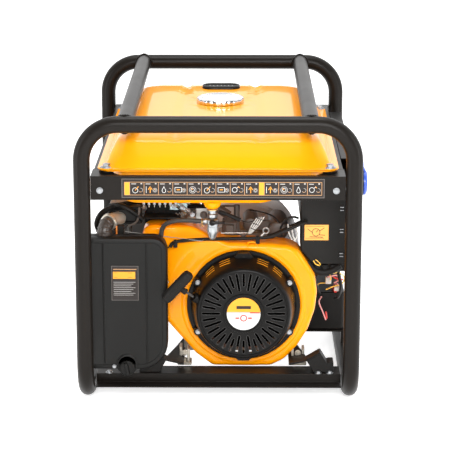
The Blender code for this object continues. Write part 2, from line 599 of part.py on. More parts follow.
combine(knob, block("knob_bar", (KNOB_CENTRE[0] - 0.0030, BOX_FRONT_Y - 0.0110, KNOB_CENTRE[1] - 0.0120),
                    (KNOB_CENTRE[0] + 0.0030, BOX_FRONT_Y - 0.0060, KNOB_CENTRE[1] + 0.0120),
                    BLACK_PLASTIC), "UNION")

# Exhaust: drum beside the alternator, with its pipe to the head.
muffler = prism("muffler", rounded(-0.2050, -0.0700, 0.1700, 0.3150, 0.050), "y", -0.0100, 0.2400,
                MUFFLER_PAINT)
combine(muffler, rod("exhaust_pipe", (-0.1050, -0.0577, 0.2600), (-0.1050, 0.0000, 0.2600), 0.0140,
                     MUFFLER_PAINT, 12), "UNION")
combine(muffler, rod("tail_pipe", (-0.1400, 0.2300, 0.2050), (-0.1400, 0.2750, 0.2050), 0.0120,
                     MUFFLER_PAINT, 12), "UNION")
combine(muffler, rod("tail_bore", (-0.1400, 0.2360, 0.2050), (-0.1400, 0.2850, 0.2050), 0.0100,
                     MUFFLER_PAINT, 12))

# Electric starter on the crankcase, between the shroud and the alternator.
starter = turned("starter_motor", [(0.0160, -0.2030), (0.0260, -0.2000), (0.0260, -0.1000), (0.0200, -0.0940)],
                 (0.1180, 0.3140), "y", MUFFLER_PAINT, 16)
combine(starter, rod("solenoid", (0.0620, -0.1950, 0.3240), (0.0620, -0.1200, 0.3240), 0.0180,
                     MUFFLER_PAINT, 12), "UNION")
combine(starter, block("starter_bridge", (0.0650, -0.1850, 0.3050), (0.1150, -0.1750, 0.3230),
                       MUFFLER_PAINT), "UNION")


# ---------------------------------------------------------------- alternator
shaft_centre = (SHAFT_X, SHAFT_Z)
turned("alternator_adapter", [(0.0900, CASE_BACK_Y + GAP), (ALTERNATOR_R, -0.0100), (ALTERNATOR_R, 0.0200),
                              (0.0800, 0.0200), (0.0800, -0.0200), (0.0300, -0.0220),
                              (0.0300, CASE_BACK_Y + GAP)], shaft_centre, "y", CAST_ALLOY, 32, ring=True)
turned("alternator_stator", [(ALTERNATOR_R, 0.0203), (0.1195, 0.0440), (STATOR_R, 0.0480), (STATOR_R, 0.2160),
                             (ALTERNATOR_R, 0.2400), (0.0660, 0.2400), (0.0660, 0.0203)], shaft_centre, "y",
       STEEL, 32, ring=True)
turned("alternator_rotor", [(0.0640, 0.0300), (0.0640, 0.2250), (SHAFT_R + GAP, 0.2250),
                            (SHAFT_R + GAP, 0.0300)], shaft_centre, "y", COPPER, 24, ring=True,
       pivot=(SHAFT_X, 0.0, SHAFT_Z))
end_bracket = turned("alternator_end_bracket", [(ALTERNATOR_R, 0.2403), (ALTERNATOR_R, 0.2550),
                                                (0.0880, 0.2880), (SHAFT_R + GAP, 0.2880),
                                                (SHAFT_R + GAP, 0.2700), (0.0780, 0.2700),
                                                (0.0850, 0.2403)], shaft_centre, "y", CAST_ALLOY, 32,
                     ring=True)
foot_outline = [(SHAFT_X - 0.0850, 0.0703), (SHAFT_X + 0.0850, 0.0703), (SHAFT_X + 0.0850, 0.0765),
                (SHAFT_X + 0.0450, 0.0960), (SHAFT_X - 0.0450, 0.0960), (SHAFT_X - 0.0850, 0.0765)]
combine(end_bracket, prism("alternator_foot", foot_outline, "y", 0.2720, 0.2860, CAST_ALLOY), "UNION")
turned("alternator_end_cover", [(0.0860, 0.2883), (0.0900, 0.2950), (0.0860, 0.3230), (0.0800, 0.3290)],
       shaft_centre, "y", GREY_PLASTIC, 32)
for side, shift in (("left", -0.0650), ("right", 0.0650)):
    turned("alternator_mount_" + side, [(0.0160, BEAM_TOP + GAP), (0.0160, 0.0700)],
           (SHAFT_X + shift, BEAM_Y), "z", RUBBER, 14)

mount = [(0.1820, 0.0453), (0.2260, 0.0453), (0.2260, 0.0660), (0.2160, 0.0660), (0.2130, 0.0642),
         (0.2005, 0.0847), (0.1735, 0.0682), (0.1860, 0.0477)]
prism("engine_mount_right", mount, "y", -0.2980, -0.2640, RUBBER)
prism("engine_mount_left", mirrored(mount, MOUNT_CENTRE), "y", -0.2980, -0.2640, RUBBER)


# ---------------------------------------------------------------- control panel and battery
housing_outline = [(0.1700, 0.2600), (0.1900, 0.2200), (0.2622, 0.2200), (0.2622, 0.4130), (0.1700, 0.4130)]
housing = prism("control_panel_housing", housing_outline, "y", -0.1850, 0.2950, BLACK_PLASTIC)
combine(housing, prism("housing_hollow", [(0.1725, 0.2610), (0.1915, 0.2225), (0.2700, 0.2225),
                                          (0.2700, 0.4105), (0.1725, 0.4105)], "y", -0.1825, 0.2925, STEEL))
face_profile = [(0.2625, 0.2200), (PANEL_X, 0.2200), (PANEL_X, 0.4520), (0.2400, 0.4520),
                (0.2400, 0.4500), (0.2625, 0.4500)]
face = prism("control_panel_face", face_profile, "y", -0.1850, 0.2950, FRAME_PAINT)
for number, y in enumerate(SOCKETS_Y):
    shell = turned("socket_shell_%d" % number, [(0.0300, PANEL_X - 0.001), (0.0300, PANEL_X + 0.004),
                                                (SOCKET_R, PANEL_X + 0.005), (SOCKET_R, PANEL_X + 0.0250)],
                   (y, SOCKET_Z), "x", BLUE_PLASTIC, 20)
    well = turned("socket_well_%d" % number, [(SOCKET_R - 0.004, PANEL_X + 0.0060),
                                              (SOCKET_R - 0.004, PANEL_X + 0.0400)], (y, SOCKET_Z), "x",
                  BLUE_PLASTIC, 20)
    combine(face, shell, "UNION")
    combine(face, well)
for name, y in zip(("front_socket_flap", "rear_socket_flap"), SOCKETS_Y):
    hinge = (PANEL_X + 0.0268, y, SOCKET_Z + SOCKET_R + 0.0015)
    flap = turned(name, [(SOCKET_R, PANEL_X + 0.0253), (SOCKET_R, PANEL_X + 0.0290),
                         (SOCKET_R - 0.004, PANEL_X + 0.0325)], (y, SOCKET_Z), "x", BLUE_PLASTIC, 20,
                  pivot=hinge)
    knuckle = rod(name + "_knuckle", (hinge[0], y - 0.0110, hinge[2]), (hinge[0], y + 0.0110, hinge[2]),
                  0.0022, BLUE_PLASTIC, 8)
    combine(flap, knuckle, "UNION")
end_outline = [(0.1605, 0.4130), (0.2500, 0.4130), (0.2500, 0.2510), (0.1850, 0.2510), (0.1605, 0.2800)]
prism("control_end_cover", end_outline, "y", -0.2450, -0.1853, BLACK_PLASTIC)
KEY_CENTRE = (0.1000, 0.3850)
key = turned("ignition_key", [(0.0090, PANEL_X + GAP), (0.0090, PANEL_X + 0.0050)], KEY_CENTRE, "x",
             BLACK_PLASTIC, 12, pivot=(PANEL_X, *KEY_CENTRE))
combine(key, block("key_bow", (PANEL_X + 0.0045, KEY_CENTRE[0] - 0.0015, KEY_CENTRE[1] - 0.0090),
                   (PANEL_X + 0.0200, KEY_CENTRE[0] + 0.0015, KEY_CENTRE[1] + 0.0090), BLACK_PLASTIC),
        "UNION")
# The breaker's toggle: a round root just clear of the face, drawn out to a narrow tip.
BREAKER_CENTRE = (PANEL_X + 0.0056, 0.1800)
BREAKER_Z = 0.3850
ROOT_R = 0.0050
toggle = [(BREAKER_CENTRE[0] + ROOT_R * math.cos(a), BREAKER_CENTRE[1] + ROOT_R * math.sin(a))
          for a in [math.radians(90 + 20 * step) for step in range(10)]]
toggle += [(BREAKER_CENTRE[0] + 0.0104, BREAKER_CENTRE[1] - 0.0020),
           (BREAKER_CENTRE[0] + 0.0104, BREAKER_CENTRE[1] + 0.0020)]
prism("breaker_switch", toggle, "z", BREAKER_Z - 0.0080, BREAKER_Z + 0.0080, BLACK_PLASTIC,
      pivot=(*BREAKER_CENTRE, BREAKER_Z))

tray = block("battery_tray", (0.1760, -0.1100, 0.0690), (0.2620, 0.0800, 0.0717), FRAME_PAINT)
for number, y in enumerate((-0.0650, 0.0350)):
    post = block("tray_post_%d" % number, (0.2520, y - 0.0120, 0.0335), (0.2600, y + 0.0120, 0.0700),
                 FRAME_PAINT)
    combine(tray, post, "UNION")
prism("battery", rounded(0.1800, 0.2570, -0.1050, 0.0750, 0.004, 1), "z", 0.0720, 0.1520, BLACK_PLASTIC)

LOOM_ROUTE = [(-0.0950, -0.2760, 0.2950), (-0.0840, -0.2740, 0.3045), (-0.0400, -0.2730, 0.3090),
              (0.0200, -0.2730, 0.3110), (0.0760, -0.2730, 0.3125), (0.1020, -0.2735, 0.3155),
              (0.1250, -0.2730, 0.3250), (0.1480, -0.2700, 0.3345), (0.1640, -0.2600, 0.3390),
              (0.1700, -0.2520, 0.3390), (0.1700, -0.2454, 0.3390)]
tube("wiring_loom", smooth_path(LOOM_ROUTE, 2), 0.0035, BLACK_PLASTIC, 8)
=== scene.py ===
"""Looks of the open-frame portable generator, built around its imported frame."""
import json
import math

import bmesh
import bpy
from mathutils import Matrix, Vector

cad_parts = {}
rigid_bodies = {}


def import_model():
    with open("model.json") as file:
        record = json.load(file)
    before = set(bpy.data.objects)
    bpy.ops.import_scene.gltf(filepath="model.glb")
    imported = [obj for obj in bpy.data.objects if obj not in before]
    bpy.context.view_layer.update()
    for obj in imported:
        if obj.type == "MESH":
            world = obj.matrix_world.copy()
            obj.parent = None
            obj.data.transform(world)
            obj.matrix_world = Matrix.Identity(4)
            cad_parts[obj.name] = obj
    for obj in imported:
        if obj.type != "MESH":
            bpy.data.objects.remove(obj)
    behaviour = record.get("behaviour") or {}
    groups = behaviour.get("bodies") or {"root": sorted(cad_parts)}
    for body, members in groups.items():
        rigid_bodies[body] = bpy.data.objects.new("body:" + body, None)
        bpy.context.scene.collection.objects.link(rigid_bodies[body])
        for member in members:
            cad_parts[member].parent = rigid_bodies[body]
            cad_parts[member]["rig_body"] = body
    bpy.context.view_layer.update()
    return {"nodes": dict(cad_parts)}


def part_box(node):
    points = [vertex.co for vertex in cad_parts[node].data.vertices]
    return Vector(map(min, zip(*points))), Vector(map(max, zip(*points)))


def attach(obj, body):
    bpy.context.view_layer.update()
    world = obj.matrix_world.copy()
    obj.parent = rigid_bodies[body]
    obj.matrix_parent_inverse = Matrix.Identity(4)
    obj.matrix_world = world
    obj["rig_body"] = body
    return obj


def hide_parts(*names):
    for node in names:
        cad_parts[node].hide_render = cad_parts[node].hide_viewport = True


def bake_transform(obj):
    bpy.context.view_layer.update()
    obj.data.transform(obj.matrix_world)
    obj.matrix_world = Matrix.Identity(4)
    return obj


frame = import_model()


# ---------------------------------------------------------------- camera, light and floor
# The view is level from the recoil end, a little above the tank, through a long lens.
# A pale floor runs back to a pale studio wall; broad soft lamps stand in front, above and at the sides.
hoop_low, hoop_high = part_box("front_hoop")
MIDDLE = (hoop_low.x + hoop_high.x) / 2


def at(x, y, z):
    """A place given across from the tube frame's middle plane."""
    return Vector((x + MIDDLE, y, z))


CAMERA_PLACE = at(0.0429, -3.6575, 1.2171)
CAMERA_PITCH = 0.2540
CAMERA_TURN = 0.0090
LENS_MM = 144.1

camera_data = bpy.data.cameras.new("camera")
camera_data.lens = LENS_MM
camera_data.clip_end = 60
camera = bpy.data.objects.new("camera", camera_data)
camera.location = CAMERA_PLACE
camera.rotation_euler = (math.pi / 2 - CAMERA_PITCH, 0, CAMERA_TURN)
bpy.context.scene.collection.objects.link(camera)
bpy.context.scene.camera = camera
bpy.context.scene.view_settings.view_transform = "Standard"


def lamp(name, place, aim, size, power, colour=(1, 1, 1)):
    data = bpy.data.lights.new(name, "AREA")
    data.shape = "RECTANGLE"
    data.size, data.size_y = size
    data.energy = power
    data.color = colour
    thing = bpy.data.objects.new(name, data)
    thing.location = place
    thing.rotation_euler = (Vector(aim) - Vector(place)).to_track_quat("-Z", "Y").to_euler()
    bpy.context.scene.collection.objects.link(thing)


lamp("top_lamp", (0.0, 0.1, 2.6), (0, 0, 0.3), (1.2, 0.8), 30)
lamp("front_lamp", (0.3, -2.9, 1.45), (0, -0.2, 0.3), (1.6, 1.0), 84)
lamp("left_lamp", (-2.3, -1.2, 0.8), (0, 0, 0.3), (0.5, 1.6), 22)
lamp("right_lamp", (2.3, -1.2, 0.8), (0, 0, 0.3), (0.5, 1.6), 22)


def join(tree, *joins):
    """Links a tree's nodes; each join is a node, its output, the next node and its input."""
    for giver, out, taker, into in joins:
        tree.links.new(giver.outputs[out], taker.inputs[into])


def set_inputs(node, values):
    """Sets sockets of a node by their names."""
    for socket, value in values.items():
        node.inputs[socket].default_value = value


# The studio is white behind the object and dim behind the camera.
world = bpy.data.worlds.new("studio")
world.use_nodes = True
sky = world.node_tree
looking = sky.nodes.new("ShaderNodeTexCoord")
height = sky.nodes.new("ShaderNodeSeparateXYZ")
fall = sky.nodes.new("ShaderNodeMapRange")
set_inputs(fall, {"From Min": -0.55, "From Max": 0.35, "To Min": 0.16, "To Max": 1.6})
backdrop = sky.nodes["Background"]
set_inputs(backdrop, {"Color": (1, 1, 1, 1)})
join(sky, (looking, "Generated", height, 0), (height, "Y", fall, "Value"),
     (fall, "Result", backdrop, "Strength"))
bpy.context.scene.world = world

floor_mesh = bpy.data.meshes.new("floor")
REACH = 30
floor_mesh.from_pydata([(-REACH, -REACH, 0), (REACH, -REACH, 0), (REACH, REACH, 0), (-REACH, REACH, 0)], [],
                       [(0, 1, 2, 3)])
floor_paint = bpy.data.materials.new("floor_paint")
floor_paint.use_nodes = True
floor_shader = floor_paint.node_tree.nodes["Principled BSDF"]
set_inputs(floor_shader, {"Base Color": (0.90, 0.90, 0.90, 1), "Roughness": 0.6,
                          "Emission Color": (1, 1, 1, 1), "Emission Strength": 0.62})
floor_mesh.materials.append(floor_paint)
floor = bpy.data.objects.new("floor", floor_mesh)
bpy.context.scene.collection.objects.link(floor)


# ---------------------------------------------------------------- tube frame
# The cradle is bent from thick-walled steel tube, welded where the top rails meet the hoops.
# Its black powder coat is satin with a fine orange-peel texture, greyed by dust where it faces up.
TUBE_R = 0.016
BEND_R = 0.069
BEND_STEPS = 14
TUBE_SIDES = 36
LEG_X = (hoop_high.x - hoop_low.x) / 2 - TUBE_R
HOOP_Y = -hoop_low.y - TUBE_R
TOP_Z = hoop_high.z - TUBE_R
RAIL_X = 0.175


def shader_group(name, inputs, outputs):
    """A shader node group with float or colour sockets; gives the tree with its two end nodes."""
    tree = bpy.data.node_groups.new(name, "ShaderNodeTree")
    for socket, kind in inputs:
        tree.interface.new_socket(name=socket, in_out="INPUT", socket_type="NodeSocket" + kind)
    for socket, kind in outputs:
        tree.interface.new_socket(name=socket, in_out="OUTPUT", socket_type="NodeSocket" + kind)
    return tree, tree.nodes.new("NodeGroupInput"), tree.nodes.new("NodeGroupOutput")


def grained_surface():
    """Fine pimples for a Bump node, and a slow mottle that changes colour and gloss."""
    tree, given, result = shader_group("grained_surface", [("Scale", "Float"), ("Mottle Scale", "Float")],
                                       [("Height", "Float"), ("Mottle", "Float")])
    place = tree.nodes.new("ShaderNodeTexCoord")
    for scale, target, detail in (("Scale", "Height", 3.0), ("Mottle Scale", "Mottle", 5.0)):
        cloud = tree.nodes.new("ShaderNodeTexNoise")
        set_inputs(cloud, {"Detail": detail})
        join(tree, (place, "Object", cloud, "Vector"), (given, scale, cloud, "Scale"),
             (cloud, "Fac", result, target))
    return tree


def settled_dust():
    """Mixes dust over a colour on faces that look up, and dulls them."""
    tree, given, result = shader_group(
        "settled_dust", [("Colour", "Color"), ("Dust", "Color"), ("Amount", "Float"), ("Mottle", "Float"),
                         ("Roughness", "Float")], [("Colour", "Color"), ("Roughness", "Float")])
    face = tree.nodes.new("ShaderNodeNewGeometry")
    split = tree.nodes.new("ShaderNodeSeparateXYZ")
    up = tree.nodes.new("ShaderNodeMapRange")
    set_inputs(up, {"From Min": 0.2, "From Max": 1.0})
    patchy = tree.nodes.new("ShaderNodeMath")
    patchy.operation = "MULTIPLY"
    share = tree.nodes.new("ShaderNodeMath")
    share.operation = "MULTIPLY"
    blend = tree.nodes.new("ShaderNodeMix")
    blend.data_type = "RGBA"
    dull = tree.nodes.new("ShaderNodeMath")
    dull.operation = "MULTIPLY_ADD"
    dull.inputs[1].default_value = 0.5
    join(tree, (face, "Normal", split, 0), (split, "Z", up, "Value"), (up, "Result", patchy, 0),
         (given, "Mottle", patchy, 1), (patchy, 0, share, 0), (given, "Amount", share, 1),
         (share, 0, blend, "Factor"), (given, "Colour", blend, "A"), (given, "Dust", blend, "B"),
         (blend, "Result", result, "Colour"), (share, 0, dull, 0), (given, "Roughness", dull, 2),
         (dull, 0, result, "Roughness"))
    return tree


GRAIN = grained_surface()
DUST = settled_dust()


def surface(name, colour, roughness, metallic=0.0, grain=900.0, relief=0.00004, mottle=0.10, dust=0.25,
            dust_colour=(0.30, 0.28, 0.25), coat=0.0, mottle_scale=14.0, shine=0.5):
    """A finish: base colour with a slow mottle, fine grain in relief, dust on top faces, and a clear coat."""
    made = bpy.data.materials.new(name)
    made.use_nodes = True
    tree = made.node_tree
    shader = tree.nodes["Principled BSDF"]
    grains = tree.nodes.new("ShaderNodeGroup")
    grains.node_tree = GRAIN
    set_inputs(grains, {"Scale": grain, "Mottle Scale": mottle_scale})
    ramp = tree.nodes.new("ShaderNodeMix")
    ramp.data_type = "RGBA"
    set_inputs(ramp, {"A": (*[c * (1 - mottle) for c in colour], 1),
                      "B": (*[min(c * (1 + mottle), 1) for c in colour], 1)})
    gloss = tree.nodes.new("ShaderNodeMapRange")
    set_inputs(gloss, {"To Min": roughness * (1 - mottle), "To Max": min(roughness * (1 + mottle), 1)})
    dusty = tree.nodes.new("ShaderNodeGroup")
    dusty.node_tree = DUST
    set_inputs(dusty, {"Dust": (*dust_colour, 1), "Amount": dust})
    bump = tree.nodes.new("ShaderNodeBump")
    set_inputs(bump, {"Strength": 0.6, "Distance": relief})
    join(tree, (grains, "Mottle", ramp, "Factor"), (grains, "Mottle", gloss, "Value"),
         (grains, "Mottle", dusty, "Mottle"), (ramp, "Result", dusty, "Colour"),
         (gloss, "Result", dusty, "Roughness"), (grains, "Height", bump, "Height"),
         (dusty, "Colour", shader, "Base Color"), (dusty, "Roughness", shader, "Roughness"),
         (bump, "Normal", shader, "Normal"))
    set_inputs(shader, {"Metallic": metallic, "Coat Weight": coat, "Coat Roughness": 0.06, "Coat IOR": 1.28,
                        "Specular IOR Level": shine})
    return made


def loft(bm, loops, ring=False, caps=True, slot=0):
    """Skins equal-length closed loops; the ends are capped, or joined for a ring."""
    rows = [[bm.verts.new(point) for point in loop] for loop in loops]
    pairs = list(zip(rows, rows[1:]))
    if ring:
        pairs.append((rows[-1], rows[0]))
    faces = []
    for low, high in pairs:
        for i in range(len(low)):
            j = (i + 1) % len(low)
            faces.append(bm.faces.new((low[i], low[j], high[j], high[i])))
    if caps and not ring:
        faces.append(bm.faces.new(rows[0]))
        faces.append(bm.faces.new(rows[-1]))
    for face in faces:
        face.material_index = slot
    return faces


def sweep(bm, points, radius, sides=16, slot=0, ring=False):
    """Sweeps a circle along a path without twist; radius is one value, or one for each point."""
    points = [Vector(p) for p in points]
    count = len(points)
    radii = radius if isinstance(radius, (list, tuple)) else [radius] * count
    tangents = []
    for i in range(count):
        ahead = points[(i + 1) % count] if ring else points[min(i + 1, count - 1)]
        behind = points[i - 1] if ring else points[max(i - 1, 0)]
        tangents.append((ahead - behind).normalized())
    guide = Vector((0, 0, 1)) if abs(tangents[0].z) < 0.9 else Vector((1, 0, 0))
    side = tangents[0].cross(guide).normalized()
    loops = []
    for i, (point, tangent, r) in enumerate(zip(points, tangents, radii)):
        if i:
            side = tangents[i - 1].rotation_difference(tangent) @ side
        other = tangent.cross(side)
        turns = [math.tau * k / sides for k in range(sides)]
        loops.append([point + r * (side * math.cos(a) + other * math.sin(a)) for a in turns])
    return loft(bm, loops, ring=ring, slot=slot)


def smooth_path(points, per_span=6):
    """Catmull-Rom curve through given points."""
    points = [Vector(p) for p in points]
    ends = [2 * points[0] - points[1]] + points + [2 * points[-1] - points[-2]]
    result = []
    for i in range(1, len(ends) - 2):
        a, b, c, d = ends[i - 1:i + 3]
        for step in range(per_span):
            t = step / per_span
            cubic = (3 * b - a - 3 * c + d) * t ** 3 + (2 * a - 5 * b + 4 * c - d) * t ** 2
            result.append(0.5 * (cubic + (c - a) * t + 2 * b))
    result.append(points[-1])
    return result


def curve(points, per_span=6):
    """Smooth path through points given across from the middle plane."""
    return smooth_path([at(*p) for p in points], per_span)


def piece(name, bm, materials, body="frame", stands_for=(), sharp=35, bevel=0.0):
    """Finishes a bmesh: merges doubles, turns faces out, shades it, and lets it ride on its body."""
    bmesh.ops.remove_doubles(bm, verts=bm.verts, dist=0.000002)
    bmesh.ops.recalc_face_normals(bm, faces=bm.faces)
    mesh = bpy.data.meshes.new(name)
    bm.to_mesh(mesh)
    bm.free()
    mesh.shade_smooth()
    mesh.set_sharp_from_angle(angle=math.radians(sharp))
    for material in materials if isinstance(materials, (list, tuple)) else [materials]:
        mesh.materials.append(material)
    thing = bpy.data.objects.new(name, mesh)
    bpy.context.scene.collection.objects.link(thing)
    if bevel:
        edge = thing.modifiers.new("edge", "BEVEL")
        edge.width = bevel
        edge.segments = 2
        edge.limit_method = "ANGLE"
        edge.angle_limit = math.radians(30)
        edge.harden_normals = True
    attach(thing, body)
    if stands_for:
        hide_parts(*stands_for)
    return thing


def bend(corner, before, after, radius=BEND_R, steps=BEND_STEPS):
    """Points of a round bend between two perpendicular unit directions."""
    centre = corner - before * radius + after * radius
    turns = [math.radians(90 * step / steps) for step in range(steps + 1)]
    return [centre - after * radius * math.cos(a) + before * radius * math.sin(a) for a in turns]


POWDER_COAT = surface("black_powder_coat", (0.0080, 0.0062, 0.0048), 0.36, grain=700, relief=0.00005,
                      mottle=0.14, dust=0.020, shine=0.13)

UP = Vector((0, 0, 1))
RIGHT = Vector((1, 0, 0))
for hoop_name, face in (("front_hoop", -1), ("rear_hoop", 1)):
    out = Vector((0, face, 0))
    y = face * HOOP_Y
    route = [at(-LEG_X, face * 0.0002, TUBE_R)]
    route += bend(at(-LEG_X, y, TUBE_R), out, UP)
    route += bend(at(-LEG_X, y, TOP_Z), UP, RIGHT)
    route += bend(at(LEG_X, y, TOP_Z), RIGHT, -UP)
    route += bend(at(LEG_X, y, TUBE_R), -UP, -out)
    route.append(at(LEG_X, face * 0.0002, TUBE_R))
    bm = bmesh.new()
    sweep(bm, route, TUBE_R, TUBE_SIDES)
    piece(hoop_name + "_tube", bm, POWDER_COAT, stands_for=[hoop_name])

BEAD_R = 0.0026
for rail_name, x in (("top_rail_left", -RAIL_X), ("top_rail_right", RAIL_X)):
    bm = bmesh.new()
    sweep(bm, [at(x, -HOOP_Y + TUBE_R / 2, TOP_Z), at(x, HOOP_Y - TUBE_R / 2, TOP_Z)], TUBE_R, TUBE_SIDES)
    # The weld bead follows the saddle where the rail meets each hoop, in overlapping ripples.
    for face in (-1, 1):
        seam = []
        ripple = []
        for i in range(96):
            a = math.tau * i / 96
            ring = (TUBE_R + BEAD_R / 4) * Vector((math.cos(a), math.sin(a)))
            reach = math.sqrt(max((TUBE_R + BEAD_R / 4) ** 2 - ring.y ** 2, 0))
            seam.append(at(x + ring.x, face * (HOOP_Y - reach), TOP_Z + ring.y))
            ripple.append(BEAD_R * (0.85 + 0.25 * abs(math.sin(12 * a))))
        sweep(bm, seam, ripple, 8, ring=True)
    piece(rail_name + "_tube", bm, POWDER_COAT, stands_for=[rail_name])


# ---------------------------------------------------------------- floor beams, tank brackets and side rails
# Folded steel sheet in the same black coat: hat-section beams on the floor rails, an angle down each side,
# and a plate with a turned lip under each end of the tank.  The plates are bolted to tabs welded on the legs.
def from_cad(node, material, bevel=0.0006, body="frame", name=None, extra=None):
    """The CAD solid's own shape, merged and planed, with its edges rolled; extra adds more to its bmesh."""
    bm = bmesh.new()
    bm.from_mesh(frame["nodes"][node].data)
    bmesh.ops.remove_doubles(bm, verts=bm.verts, dist=0.00002)
    bmesh.ops.dissolve_limit(bm, angle_limit=math.radians(2), verts=bm.verts, edges=bm.edges)
    for face in bm.faces:
        face.material_index = 0
    if extra:
        extra(bm)
    return piece(name or node + "_part", bm, material, body=body, stands_for=[node], bevel=bevel)


def facing(normal):
    """Rotation that turns +Z onto a direction."""
    return Vector(normal).to_track_quat("Z", "Y").to_matrix().to_4x4()


def add_turned(bm, profile, centre, normal, sides=28, slot=0, ring=False):
    """Turns (radius, height) pairs about a direction through a point."""
    turn = Matrix.Translation(centre) @ facing(normal)
    loops = []
    for r, h in profile:
        turns = [math.tau * i / sides for i in range(sides)]
        loops.append([turn @ Vector((r * math.cos(a), r * math.sin(a), h)) for a in turns])
    return loft(bm, loops, ring=ring, slot=slot)


def add_bolt(bm, centre, normal, radius=0.0065, height=0.0045, slot=0, washer=1.5):
    """Hexagon bolt head with a chamfered crown on a flat washer."""
    if washer:
        add_turned(bm, [(radius * washer, 0), (radius * washer, 0.0010), (radius * washer * 0.95, 0.0013)],
                   centre, normal, 24, slot)
    turn = Matrix.Translation(centre) @ facing(normal)
    loops = []
    for share, h in ((1.0, 0.0010), (1.0, height * 0.85), (0.86, height)):
        corners = [math.tau * i / 6 for i in range(6)]
        loops.append([turn @ Vector((radius * share * math.cos(a), radius * share * math.sin(a), h))
                      for a in corners])
    loft(bm, loops, slot=slot)
    add_turned(bm, [(radius * 0.55, height - 0.0002), (radius * 0.5, height + 0.0003)], centre, normal, 16,
               slot)


ZINC = surface("zinc_plated_steel", (0.34, 0.35, 0.36), 0.36, 1.0, grain=500, relief=0.00003, mottle=0.18,
               dust=0.1)
# Flat black discs put where holes would be: painted shade in place of real holes.
PAINTED_HOLE_SHADE = surface("painted_hole_shade", (0.004, 0.004, 0.004), 0.9, dust=0.0)

for node in ("front_crossbeam", "rear_crossbeam", "side_rail_left", "side_rail_right"):
    from_cad(node, POWDER_COAT, 0.0012)
PLATE_Y = 0.3635
PLATE_BOLT_X = 0.2227
PLATE_BOLT_Z = 0.4285
for node, face in (("front_tank_bracket", -1), ("rear_tank_bracket", 1)):
    from_cad(node, POWDER_COAT, 0.0009)
    bm = bmesh.new()
    for x in (-PLATE_BOLT_X, PLATE_BOLT_X):
        add_bolt(bm, at(x, face * PLATE_Y, PLATE_BOLT_Z), (0, face, 0), 0.0050, 0.0042, washer=1.25)
    piece(node + "_bolts", bm, ZINC)

# Beam bolts.
bm = bmesh.new()
for x in (-0.2150, 0.1960, 0.2180):
    for face in (-1, 1):
        add_bolt(bm, at(x, face * 0.2990, 0.0450), (0, 0, 1), 0.0050, 0.0040)
piece("beam_bolts", bm, ZINC)


# ---------------------------------------------------------------- fuel tank
# Two deep-drawn steel halves seamed at a flat flange and enamelled yellow-orange, with a clear gloss.
# Two grooves run along the top and a shallow ring is pressed round the filler.
ENAMEL = surface("tank_enamel", (0.95, 0.330, 0.0), 0.36, grain=260, relief=0.00001, mottle=0.05, dust=0.03,
                 dust_colour=(0.85, 0.60, 0.28), coat=0.60, mottle_scale=5.0, shine=0.08)
SEAM_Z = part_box("tank_upper_shell")[0].z
FRONT_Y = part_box("tank_upper_shell")[0].y
REAR_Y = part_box("tank_upper_shell")[1].y
GROOVE_X = 0.083
GROOVE_HALF = 0.013
GROOVE_DEPTH = 0.0042
FILLER = at(0.0, 0.030, 0)
FILLER_RING = 0.064
REAR_RISE = 0.0068
REAR_TAPER = 0.11


def rounded_loop(half, front, back, radius, z, along=56, across=40, corner=12):
    """Rounded rectangle with the same count of points on each side, whatever its size."""
    corners = ((half, back, 0), (-half, back, 90), (-half, front, 180), (half, front, 270))
    signs = ((-1, -1), (1, -1), (1, 1), (-1, 1))
    points = []
    for number, ((x, y, start), (sx, sy)) in enumerate(zip(corners, signs)):
        centre = Vector((x + sx * radius, y + sy * radius))
        turns = [math.radians(start + 90 * step / corner) for step in range(corner + 1)]
        arc = [centre + radius * Vector((math.cos(a), math.sin(a))) for a in turns]
        points += arc
        nx, ny, _ = corners[(number + 1) % 4]
        nsx, nsy = signs[(number + 1) % 4]
        start_next = math.radians(start + 90)
        target = Vector((nx + nsx * radius, ny + nsy * radius))
        target += radius * Vector((math.cos(start_next), math.sin(start_next)))
        steps = across if number % 2 == 0 else along
        points += [arc[-1].lerp(target, k / steps) for k in range(1, steps)]
    return [at(p.x, p.y, z) for p in points]


def between(keys, steps):
    """Catmull-Rom through tuples of numbers, so that one loop's sizes flow into the next."""
    result = []
    ends = [keys[0]] + list(keys) + [keys[-1]]
    for i in range(1, len(ends) - 2):
        a, b, c, d = ends[i - 1:i + 3]
        for step in range(steps):
            t = step / steps
            row = []
            for p, q, r, s in zip(a, b, c, d):
                cubic = (3 * q - p - 3 * r + s) * t ** 3 + (2 * p - 5 * q + 4 * r - s) * t ** 2
                row.append(0.5 * (cubic + (r - p) * t + 2 * q))
            result.append(row)
    result.append(keys[-1])
    return result


def soft_step(value, low, high):
    share = min(max((value - low) / (high - low), 0), 1)
    return share * share * (3 - 2 * share)


def press_top(point):
    """Sinks the grooves and the filler's ring into a point of the tank's top."""
    x, y, z = point.x - MIDDLE, point.y, point.z
    on_top = soft_step(z, SEAM_Z + 0.044, SEAM_Z + 0.049)
    across = abs(abs(x) - GROOVE_X)
    groove = 1 - soft_step(across, GROOVE_HALF * 0.45, GROOVE_HALF)
    away = (Vector((point.x, y)) - Vector((FILLER.x, FILLER.y))).length
    ring = 1 - soft_step(abs(away - FILLER_RING), 0.001, 0.005)
    rise = REAR_RISE * soft_step(y, -0.20, 0.22)
    narrow = REAR_TAPER * soft_step(z, SEAM_Z + 0.004, SEAM_Z + 0.045) * soft_step(y, -0.30, 0.26)
    return Vector((MIDDLE + x * (1 - narrow), y, z + on_top * (rise - GROOVE_DEPTH * groove - 0.0012 * ring)))


